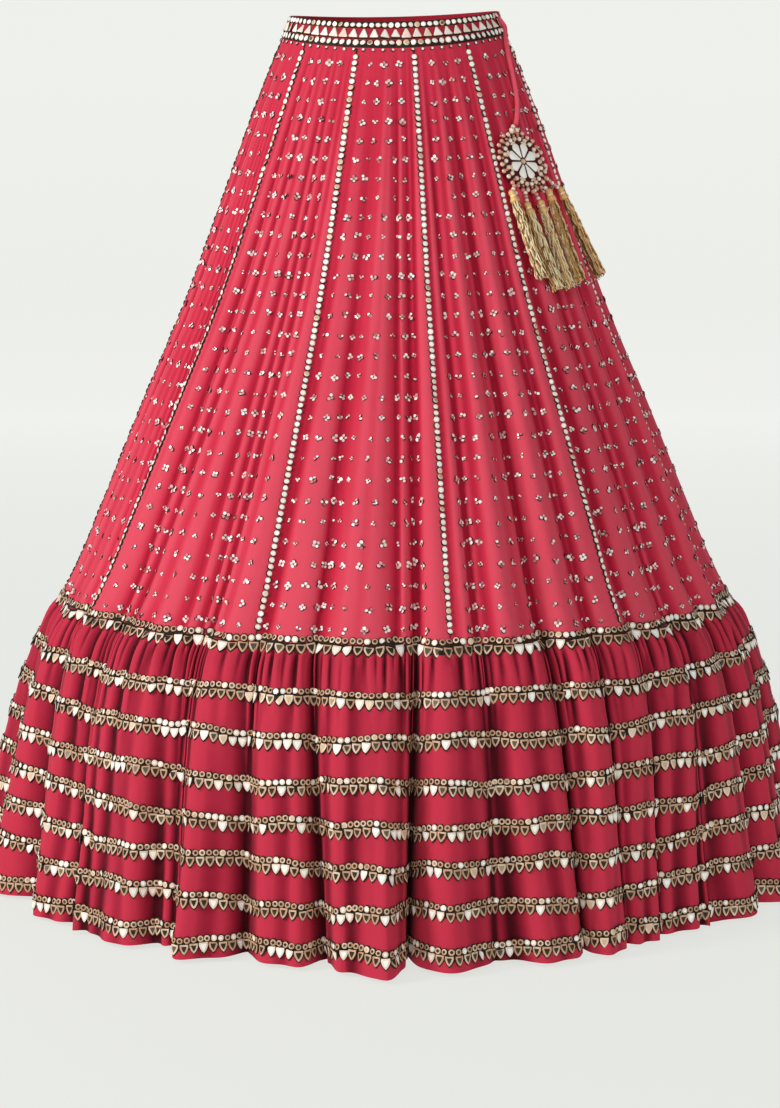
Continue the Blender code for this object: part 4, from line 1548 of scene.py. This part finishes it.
@dataclass
class WaistbandWork:
    """The waistband's rows: mirrors, upward triangles, larger mirrors and dark lines."""

    finishes: Finishes
    lift: float = 0.0009
    margin: float = 4.4
    tilt: float = 8.0
    step: float = 0.02
    small_radius: float = 0.0033
    small_rim: float = 0.0008
    large_radius: float = 0.0038
    large_rim: float = 0.0010
    rise: float = 0.0012
    large_rise: float = 0.0013
    halo: float = 0.0006
    peak_size: tuple[float, float] = (0.0112, 0.0108)
    peak_rim: float = 0.0012
    peak_halo: float = 0.0010
    speck_radius: float = 0.0018
    speck_rise: float = 0.0008
    speck_halo: float = 0.0007
    sizes: tuple[float, float] = (0.94, 1.06)
    darkness: float = 0.45
    ground_height: float = 0.0013
    line_columns: int = 300
    # Share down the band and pitch of each row, from the top: small, peaks, large, specks
    rows: tuple[tuple[float, float], ...] = (
        (0.150, 0.0081), (0.468, 0.0134), (0.830, 0.0090), (1.10, 0.0125))
    # Share down the band and half width of each dark line
    lines: tuple[tuple[float, float], ...] = ((0.150, 0.150), (0.655, 0.034), (0.845, 0.165))

    def stamps(self) -> list[Stamp]:
        """The shape of each row, from the top."""
        return [rimmed_stamp(round_outline(self.small_radius), self.small_rim, self.rise, self.halo),
                rimmed_stamp(triangle_outline(*self.peak_size), self.peak_rim, self.rise, self.peak_halo,
                             Layer.SEQUIN),
                rimmed_stamp(round_outline(self.large_radius), self.large_rim, self.large_rise, self.halo),
                sequin_stamp(self.speck_radius, self.speck_rise, self.speck_halo)]

    def build(self) -> None:
        """Make the work of each length of the band as one piece."""
        for side, start, end in FORM.band_spans(self.margin):
            rng = np.random.default_rng(SEED + len(side))
            parts = MeshParts()
            for (share, pitch), stamp in zip(self.rows, self.stamps()):
                columns = even_columns(FORM.band, lambda c, s=share: s + 0.0 * c, start, end, pitch)
                frames = frames_on(FORM.band, columns, share + 0.0 * columns, self.step).lifted(self.lift)
                stamp.press(parts, frames.tilted(rng, self.tilt), rng.uniform(*self.sizes, len(columns)),
                            rng.uniform(0.12, 1.0, len(columns)) ** self.darkness)
            columns = np.linspace(start, end, self.line_columns)
            for share, half in self.lines:
                at = share + 0.0 * columns
                ribbon(parts, FORM.band, columns, at - half, at + half, self.ground_height)
            finish_piece(parts.build(f"waistband_mirrors_{side}", self.finishes.worked, smooth=False))


# Drawstring and latkan

GOLDEN_ANGLE = math.pi * (3.0 - math.sqrt(5.0))
ACROSS_ALL_PATHS = np.array([0.31, -0.85, 0.42])
# Metres round any tube in its UV map
TUBE_ROUND = 0.02


def add_closed(parts: MeshParts, points: Array, sides: int, layer: int, tint: float,
               uv: Array | None = None) -> None:
    """Add rings of points as one body, whose first and last ring each bound a flat face.

    Args:
        parts: Where it goes.
        points: The rings' points, ring after ring.
        sides: Points of a ring.
        layer: Its material.
        tint: Its tint.
        uv: Its UV map, or none.
    """
    first = np.arange(sides)[::-1][None, :]
    last = np.arange(len(points) - sides, len(points))[None, :]
    parts.add(points, [ring_quads(len(points) // sides, sides), first, last], [layer] * 3, [tint] * 3, uv)


def tube(parts: MeshParts, path: Array, radius: Array, sides: int, layer: int, tint: float,
         twist: float = 0.0) -> None:
    """Add a tube along a path, closed at both ends, with metres along it in the UV map.

    Formula: at each point, a ring of the radius in the plane square to the path; the ring
    starts at the cross product of the path's way and one fixed way that no path follows.

    Args:
        parts: Where it goes.
        path: Points by three.
        radius: The tube's radius at each point.
        sides: Points of a ring.
        layer: Its material.
        tint: Its tint.
        twist: Turns of the ring over the whole path.
    """
    way = unit(np.gradient(path, axis=0))
    side = unit(np.cross(way, ACROSS_ALL_PATHS))
    other = np.cross(way, side)
    turn = twist * math.tau * np.linspace(0, 1, len(path))[:, None]
    angle = (np.arange(sides) / sides * math.tau)[None, :] + turn
    ring = side[:, None] * np.cos(angle)[..., None] + other[:, None] * np.sin(angle)[..., None]
    points = path[:, None] + ring * np.asarray(radius).reshape(-1, 1, 1)
    uv = np.stack(np.meshgrid(np.arange(sides) / sides * TUBE_ROUND, run_along(path)), axis=-1)
    add_closed(parts, points.reshape(-1, 3), sides, layer, tint, uv)


def ball(parts: MeshParts, place: Array, axes: Array, radii: Sequence[float], layer: int, tint: float,
         segments: int = 12, rings: int = 8) -> None:
    """Add a ball or a flattened ball.

    Formula: (r1 cos a sin b, r2 sin a sin b, r3 cos b) on three given axes, poles closed.

    Args:
        parts: Where it goes.
        place: Its middle.
        axes: Its axes, as rows.
        radii: Its radius along each axis.
        layer: Its material.
        tint: Its tint.
        segments: Points of a ring.
        rings: Steps from pole to pole.
    """
    b = np.linspace(0.0, math.pi, rings + 1)[1:-1, None]
    a = (np.arange(segments) / segments * math.tau)[None, :]
    body = np.stack([radii[0] * np.cos(a) * np.sin(b), radii[1] * np.sin(a) * np.sin(b),
                     radii[2] * np.cos(b) + 0.0 * a], axis=-1).reshape(-1, 3)
    local = np.concatenate([body, [[0, 0, radii[2]], [0, 0, -radii[2]]]])
    quads = ring_quads(rings - 1, segments)[:, [0, 3, 2, 1]]
    k = np.arange(segments)
    after = (k + 1) % segments
    low = (rings - 2) * segments
    caps = np.concatenate([np.stack([np.full(segments, len(body)), k, after], axis=-1),
                           np.stack([np.full(segments, len(body) + 1), low + after, low + k], axis=-1)])
    parts.add(place + local @ axes, [quads, caps], [layer] * 2, [tint] * 2)


def turned(parts: MeshParts, place: Array, axes: Array, profile: Array, sides: int, layer: int, tint: float,
           flute: float = 0.0, flutes: int = 0) -> None:
    """Add a turned body: a profile carried round, with shallow flutes.

    Args:
        parts: Where it goes.
        place: The middle of its base.
        axes: Its axes, as rows; it is turned about the third.
        profile: Rows of radius and height.
        sides: Points of a ring.
        layer: Its material.
        tint: Its tint.
        flute: Depth of a flute as a share of the radius.
        flutes: Flutes all round.
    """
    a = (np.arange(sides) / sides * math.tau)[None, :]
    radius = profile[:, :1] * (1.0 + flute * np.cos(a * flutes))
    local = np.stack([radius * np.cos(a), radius * np.sin(a), profile[:, 1:2] + 0.0 * a], axis=-1)
    add_closed(parts, place + local.reshape(-1, 3) @ axes, sides, layer, tint)


def surface_axes(bearing: float, z: float) -> tuple[Array, Array]:
    """A place on the smooth skirt and its axes, rows round, up and outward."""
    place = FORM.oval(np.array(bearing), np.array(z))
    down = unit(FORM.oval(np.array(bearing), np.array(z - STEP_DOWN)) - place)
    beside = unit(FORM.oval(np.array(bearing + STEP_DEGREES), np.array(z)) - place)
    return place, np.stack([beside, -down, unit(np.cross(down, beside))])


@dataclass
class Drawstring:
    """The rolled cloth cord, one free end from the side opening to the medallion."""

    finishes: Finishes
    diameter: float = 0.0062
    # Bearing, height and stand-off of the cord's centre, as in the solids
    route: tuple[tuple[float, float, float], ...] = (
        (76.3, 0.0050, -0.0005), (76.3, -0.0025, 0.0018), (75.2, -0.0095, 0.0046), (71.0, -0.0190, 0.0046),
        (66.4, -0.0330, 0.0042), (62.6, -0.0530, 0.0040), (60.0, -0.0780, 0.0040), (56.8, -0.1050, 0.0041),
        (52.8, -0.1270, 0.0043), (50.6, -0.1365, 0.0044))
    samples: int = 40
    sides: int = 20

    def path(self) -> Array:
        """Points at an even spacing on a smooth curve through the route."""
        guide = np.array([FORM.oval(np.array(b), np.array(z), out) for b, z, out in self.route])
        ends = np.concatenate([[guide[0] * 2 - guide[1]], guide, [guide[-1] * 2 - guide[-2]]])
        t = np.linspace(0.0, 1.0, 24, endpoint=False)[None, :, None]
        p0, p1, p2, p3 = (ends[i:len(ends) - 3 + i, None] for i in range(4))
        fine = 0.5 * (2 * p1 + (p2 - p0) * t + (2 * p0 - 5 * p1 + 4 * p2 - p3) * t ** 2
                      + (3 * p1 - p0 - 3 * p2 + p3) * t ** 3)
        fine = np.concatenate([fine.reshape(-1, 3), guide[-1:]])
        run = run_along(fine)
        stops = np.linspace(0.0, run[-1], self.samples)
        return np.stack([np.interp(stops, run, fine[:, axis]) for axis in range(3)], axis=-1)

    def build(self) -> tuple[bpy.types.Object, Array]:
        """Make the cord as a tube, slightly uneven like a rolled strip.

        Returns:
            The piece and its path.
        """
        path = self.path()
        along = np.linspace(0.0, 1.0, len(path))
        radius = self.diameter / 2.0 * (0.97 + 0.03 * np.sin(along * 31.0))
        parts = MeshParts()
        tube(parts, path, radius, self.sides, Layer.THREAD.value, 0.5, twist=1.5)
        item = parts.build("rolled_drawstring", [self.finishes.cord], smooth=True)
        finish_piece(item, ["drawstring"])
        return item, path


@dataclass
class Latkan:
    """The medallion and its five tassels."""

    finishes: Finishes
    bearing: float = 48.8
    z: float = -0.1845
    radius: float = 0.0355
    thickness: float = 0.0030
    rest_gap: float = 0.0006
    petals: int = 8
    ring_beads: int = 22
    ring_radius: float = 0.0303
    tip_radius: float = 0.0259
    rim_beads: int = 28
    rim_radius: float = 0.0380
    head_radius: float = 0.0046
    cap_radius: float = 0.0058
    cap_length: float = 0.0110
    strands: int = 84
    strand_radius: float = 0.00080
    strand_stations: int = 22
    crimps: float = 6.0
    crimp: float = 0.0010
    end_spread: float = 0.0086
    flatness: float = 0.85
    # Bearing and height of each head, then of its strands' end, as in the solids
    tassels: tuple[tuple[float, float, float, float], ...] = (
        (39.3, -0.2230, 42.4, -0.3290), (44.6, -0.2380, 47.0, -0.3430), (51.3, -0.2355, 51.8, -0.3415),
        (58.0, -0.2210, 58.0, -0.3340), (67.6, -0.2180, 76.0, -0.3290))

    def head(self, row: tuple[float, float, float, float]) -> Array:
        """The middle of a tassel's head ball."""
        return FORM.oval(np.array(row[0]), np.array(row[1]), self.cap_radius + self.rest_gap)

    def medallion(self) -> bpy.types.Object:
        """Disc, petals, rings of beads, loops and strings."""
        place, axes = surface_axes(self.bearing, self.z)
        centre = place + axes[2] * (self.rest_gap + self.thickness / 2.0)
        parts = MeshParts()
        half = self.thickness / 2.0
        disc = np.array([(self.radius * 0.4, -half), (self.radius, -half), (self.radius * 1.10, -half * 0.6),
                         (self.radius * 1.08, half * 0.5), (self.radius * 0.66, half * 1.25),
                         (0.0005, half * 1.15)])
        turned(parts, centre, axes, disc, 64, Layer.THREAD.value, 0.4)

        def spot(radius: float, angle: float, height: float) -> Array:
            """A place on the disc's face."""
            return centre + np.array([radius * math.cos(angle), radius * math.sin(angle), height]) @ axes

        rng = np.random.default_rng(SEED + 90)
        top = half * 1.3
        petal = rimmed_stamp(self.petal_outline(), 0.0007, 0.0014, 0.0004)
        for k in range(self.petals):
            angle = math.tau * (k + 0.5) / self.petals
            turn = np.array([[math.sin(angle), -math.cos(angle), 0], [math.cos(angle), math.sin(angle), 0],
                             [0, 0, 1.0]]) @ axes
            frames = Frames(spot(0.0, 0.0, top)[None], turn[0][None], -turn[1][None], turn[2][None])
            petal.press(parts, frames, np.ones(1), np.array([0.86 + 0.1 * rng.random()]))
            tip = np.stack([turn[0], turn[1], turn[2]])
            ball(parts, spot(self.tip_radius, angle, top), tip, (0.0052, 0.0019, 0.0024), Layer.RIM.value,
                 0.45, 10, 6)
        ball(parts, spot(0.0, 0.0, top), axes, (0.0036, 0.0036, 0.0032), Layer.RIM.value, 0.3)
        for k in range(self.ring_beads):
            angle = math.tau * k / self.ring_beads
            ball(parts, spot(self.ring_radius, angle, top), axes, (0.0030, 0.0030, 0.0028),
                 3 if k % 2 else 1, 0.95 if k % 2 else 0.45)
        for k in range(self.ring_beads + 6):
            angle = math.tau * (k + 0.5) / (self.ring_beads + 6)
            ball(parts, spot(self.ring_radius + 0.0044, angle, half), axes, (0.0019,) * 3,
                 Layer.SEQUIN.value, 0.25, 8, 6)
        for k in range(self.rim_beads):
            angle = math.tau * (k + 0.5) / self.rim_beads
            wide = self.rim_radius + (0.0022 if k % 2 else 0.0)
            ball(parts, spot(wide, angle, half * 0.6), axes, (0.0030, 0.0030, 0.0027), Layer.SEQUIN.value,
                 rng.uniform(0.25, 0.75), 10, 7)
        for x, y, size, tint in ((-0.0045, 0.0420, 0.0034, 0.8), (0.0045, 0.0420, 0.0034, 0.8),
                                 (0.0, 0.0470, 0.0030, 0.7), (0.0, 0.0405, 0.0028, 0.3)):
            ball(parts, centre + np.array([x, y, half]) @ axes, axes, (size,) * 3, Layer.SEQUIN.value, tint)
        for row in self.tassels:
            head = self.head(row)
            way = axes @ (head - centre)
            way[2] = 0.0
            rim = centre + (way / np.linalg.norm(way) * (self.radius - 0.002)) @ axes
            run = head - rim
            length = np.linalg.norm(run) - self.head_radius
            axis = run / np.linalg.norm(run)
            string = np.stack([rim, rim + axis * length * 0.5, rim + axis * length])
            tube(parts, string, np.full(3, 0.0009), 8, Layer.THREAD.value, 0.3)
            for k, reach in enumerate(np.arange(length - 0.0026, 0.006, -0.0055)):
                ball(parts, rim + axis * reach, axes, (0.0027,) * 3, Layer.SEQUIN.value,
                     0.35 if k % 2 else 0.85, 10, 7)
        item = parts.build("latkan_medallion", self.finishes.beads, smooth=True)
        return finish_piece(item, ["medallion"])

    def petal_outline(self) -> Array:
        """A petal from the hub outward, narrow inside and round outside."""
        angle = np.linspace(0.0, math.pi, 9)
        outer = np.column_stack([0.0064 * np.cos(angle), 0.0192 + 0.0054 * np.sin(angle)])
        inner = np.array([[-0.0012, 0.0052], [0.0012, 0.0052]])
        return np.concatenate([outer, inner])

    def tassel(self, number: int, row: tuple[float, float, float, float]) -> bpy.types.Object:
        """A wound head and many fine threads that hang from its cap.

        Formula: each thread runs from a ring in the cap to a wider ring at its end, out by
        the square root of its way down, with a small sway of its own.
        """
        rng = np.random.default_rng(SEED + 200 + number)
        head = self.head(row)
        foot = FORM.oval(np.array(row[2]), np.array(row[3]), 0.0082 * self.flatness + 0.0037)
        axis = foot - head
        length = np.linalg.norm(axis)
        axis /= length
        _, axes = surface_axes(row[0], row[1])
        across = np.cross(axes[2], axis)
        across /= np.linalg.norm(across)
        frame_axes = np.stack([across, np.cross(axis, across), axis])
        parts = MeshParts()
        r = self.head_radius
        c = self.cap_radius
        profile = np.array([(0.0006, -r), (r * 0.55, -r * 0.85), (r * 0.9, -r * 0.45), (r, 0.0),
                            (r * 0.9, r * 0.5), (r * 0.66, r * 0.86),
                            (r * 0.70, r * 1.05), (c * 0.72, r * 1.25), (c * 0.9, r * 1.6),
                            (c, self.cap_length * 0.95), (c * 0.92, self.cap_length * 1.15),
                            (c * 0.3, self.cap_length * 1.18)])[::-1]
        turned(parts, head, frame_axes, profile, 28, Layer.THREAD.value, 0.40, 0.06, 14)
        for wind in (r * 0.84, r * 1.02, r * 1.2):
            angle = np.linspace(0.0, math.tau, 22)
            ring = np.stack([r * 0.76 * np.cos(angle), r * 0.76 * np.sin(angle), wind + 0.0 * angle], axis=-1)
            tube(parts, head + ring @ frame_axes, np.full(22, 0.0006), 6, Layer.THREAD.value, 0.9)
        stations = np.linspace(0.0, 1.0, self.strand_stations)
        start = self.cap_length * 0.8
        for k in range(self.strands):
            angle = k * GOLDEN_ANGLE + rng.normal(0.0, 0.15)
            share = math.sqrt((k + 0.5) / self.strands)
            end = length * (0.975 + 0.015 * rng.normal())
            spread = c * 0.78 * share + (self.end_spread - c * 0.78) * share * stations ** 0.6
            turns = stations * self.crimps + rng.random()
            side = self.crimp * np.sin(turns * math.tau) * np.minimum(1.0, stations * 6.0)
            fore = self.crimp * np.cos(turns * math.tau * 0.83) * np.minimum(1.0, stations * 6.0)
            local = np.stack([math.cos(angle) * spread + side,
                              math.sin(angle) * spread * self.flatness + fore,
                              start + (end - start) * stations], axis=-1)
            # Each strand's random tint runs from a painted shade to a painted highlight of the gold, partly
            # the yarn's own tone
            tube(parts, head + local @ frame_axes, np.full(len(stations), self.strand_radius), 3,
                 Layer.THREAD.value, rng.random())
        item = parts.build(f"gold_tassel_{number}", [self.finishes.gold], smooth=True)
        return finish_piece(item, [f"tassel_{number}"])


# Studio


@dataclass(frozen=True)
class Lamp:
    """One soft square light aimed at a point."""

    name: str
    place: tuple[float, float, float]
    target: tuple[float, float, float]
    size: float
    power: float
    colour: Colour

    def hang(self) -> None:
        """Make the light."""
        data = bpy.data.lights.new(self.name, "AREA")
        data.shape = "SQUARE"
        data.size = self.size
        data.energy = self.power
        data.color = self.colour
        item = bpy.data.objects.new(self.name, data)
        item.location = self.place
        item.rotation_euler = (Vector(self.target) - Vector(self.place)).to_track_quat("-Z", "Y").to_euler()
        bpy.context.scene.collection.objects.link(item)


# A broad key from the upper left, a soft front light and a weak fill from the right
LAMPS = (
    Lamp("key", (-3.4, -1.9, 1.15), (0.0, 0.0, -0.56), 1.1, 110.0, (1.0, 0.985, 0.96)),
    Lamp("front", (-1.0, -4.1, 2.2), (0.0, 0.0, -0.5), 2.0, 66.0, (1.0, 1.0, 0.99)),
    Lamp("fill", (3.2, -2.6, 0.4), (0.0, 0.0, -0.6), 2.2, 26.0, (1.0, 1.0, 1.0)))


@dataclass(frozen=True)
class Studio:
    """Camera, sweep and sky."""

    camera_place: tuple[float, float, float] = (-0.0066, -3.11, -0.269)
    camera_pitch: float = 7.87
    image_height: float = 1108.0
    focal_pixels: float = 2343.0
    sensor: float = 36.0
    floor_z: float = -1.106
    sweep_back: float = 7.4
    sweep_radius: float = 1.6
    sweep_steps: int = 24
    wall_height: float = 9.0
    reach: float = 14.0
    sky_colour: Colour = (0.93, 0.95, 0.93)
    sky_strength: float = 0.12

    def camera(self) -> None:
        """A camera at the photograph's place: focal length = pixels times sensor over height."""
        data = bpy.data.cameras.new("camera")
        data.sensor_width = self.sensor
        data.lens = self.focal_pixels * self.sensor / self.image_height
        item = bpy.data.objects.new("camera", data)
        item.location = self.camera_place
        item.rotation_euler = (math.radians(90.0 - self.camera_pitch), 0.0, 0.0)
        bpy.context.scene.collection.objects.link(item)
        bpy.context.scene.camera = item

    def sweep(self) -> None:
        """A floor that curves up behind into a wall."""
        bend = np.linspace(0.0, math.pi / 2.0, self.sweep_steps)
        back = self.sweep_back + self.sweep_radius * np.sin(bend)
        y = np.concatenate([[-self.reach, -5.0, 0.0], back, back[-1:]])
        z = np.concatenate([np.zeros(3), self.sweep_radius * (1.0 - np.cos(bend)), [self.wall_height]])
        x = np.linspace(-self.reach, self.reach, 9)
        points = np.stack(np.broadcast_arrays(x[None, :], y[:, None], z[:, None] + self.floor_z), axis=-1)
        parts = MeshParts()
        parts.add(points, [grid_faces(len(y), len(x))[:, ::-1]], [0], [0.5])
        parts.build("studio_sweep", [Paper().make()], smooth=True)

    def sky(self) -> None:
        """A weak, even, pale light from all round, and colours shown as they are."""
        world = bpy.data.worlds.new("studio")
        world.use_nodes = True
        sky = world.node_tree.nodes["Background"]
        sky.inputs["Color"].default_value = (*self.sky_colour, 1.0)
        sky.inputs["Strength"].default_value = self.sky_strength
        bpy.context.scene.world = world
        view = bpy.context.scene.view_settings
        view.view_transform = "Standard"
        view.look = "None"


def write_sizes() -> None:
    """Bring the scene's placements up to date."""
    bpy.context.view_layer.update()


def main() -> None:
    """Build the studio and every piece of the skirt."""
    logging.basicConfig(level=logging.INFO, format="%(message)s")
    studio = Studio()
    studio.camera()
    finishes = Finishes.make()
    cord, path = Drawstring(finishes).build()
    latkan = Latkan(finishes)
    medallion = latkan.medallion()
    for number, row in enumerate(latkan.tassels, start=1):
        latkan.tassel(number, row)
    skirt = Skirt(finishes)
    skirt.waistband()
    skirt.panels()
    skirt.ruffle()
    WaistbandWork(finishes).build()
    work = PanelWork(finishes)
    work.seams()
    work.buttis()
    RuffleBands(finishes).build()
    studio.sweep()
    for lamp in LAMPS:
        lamp.hang()
    studio.sky()
    write_sizes()


if __name__ == "__main__":
    main()
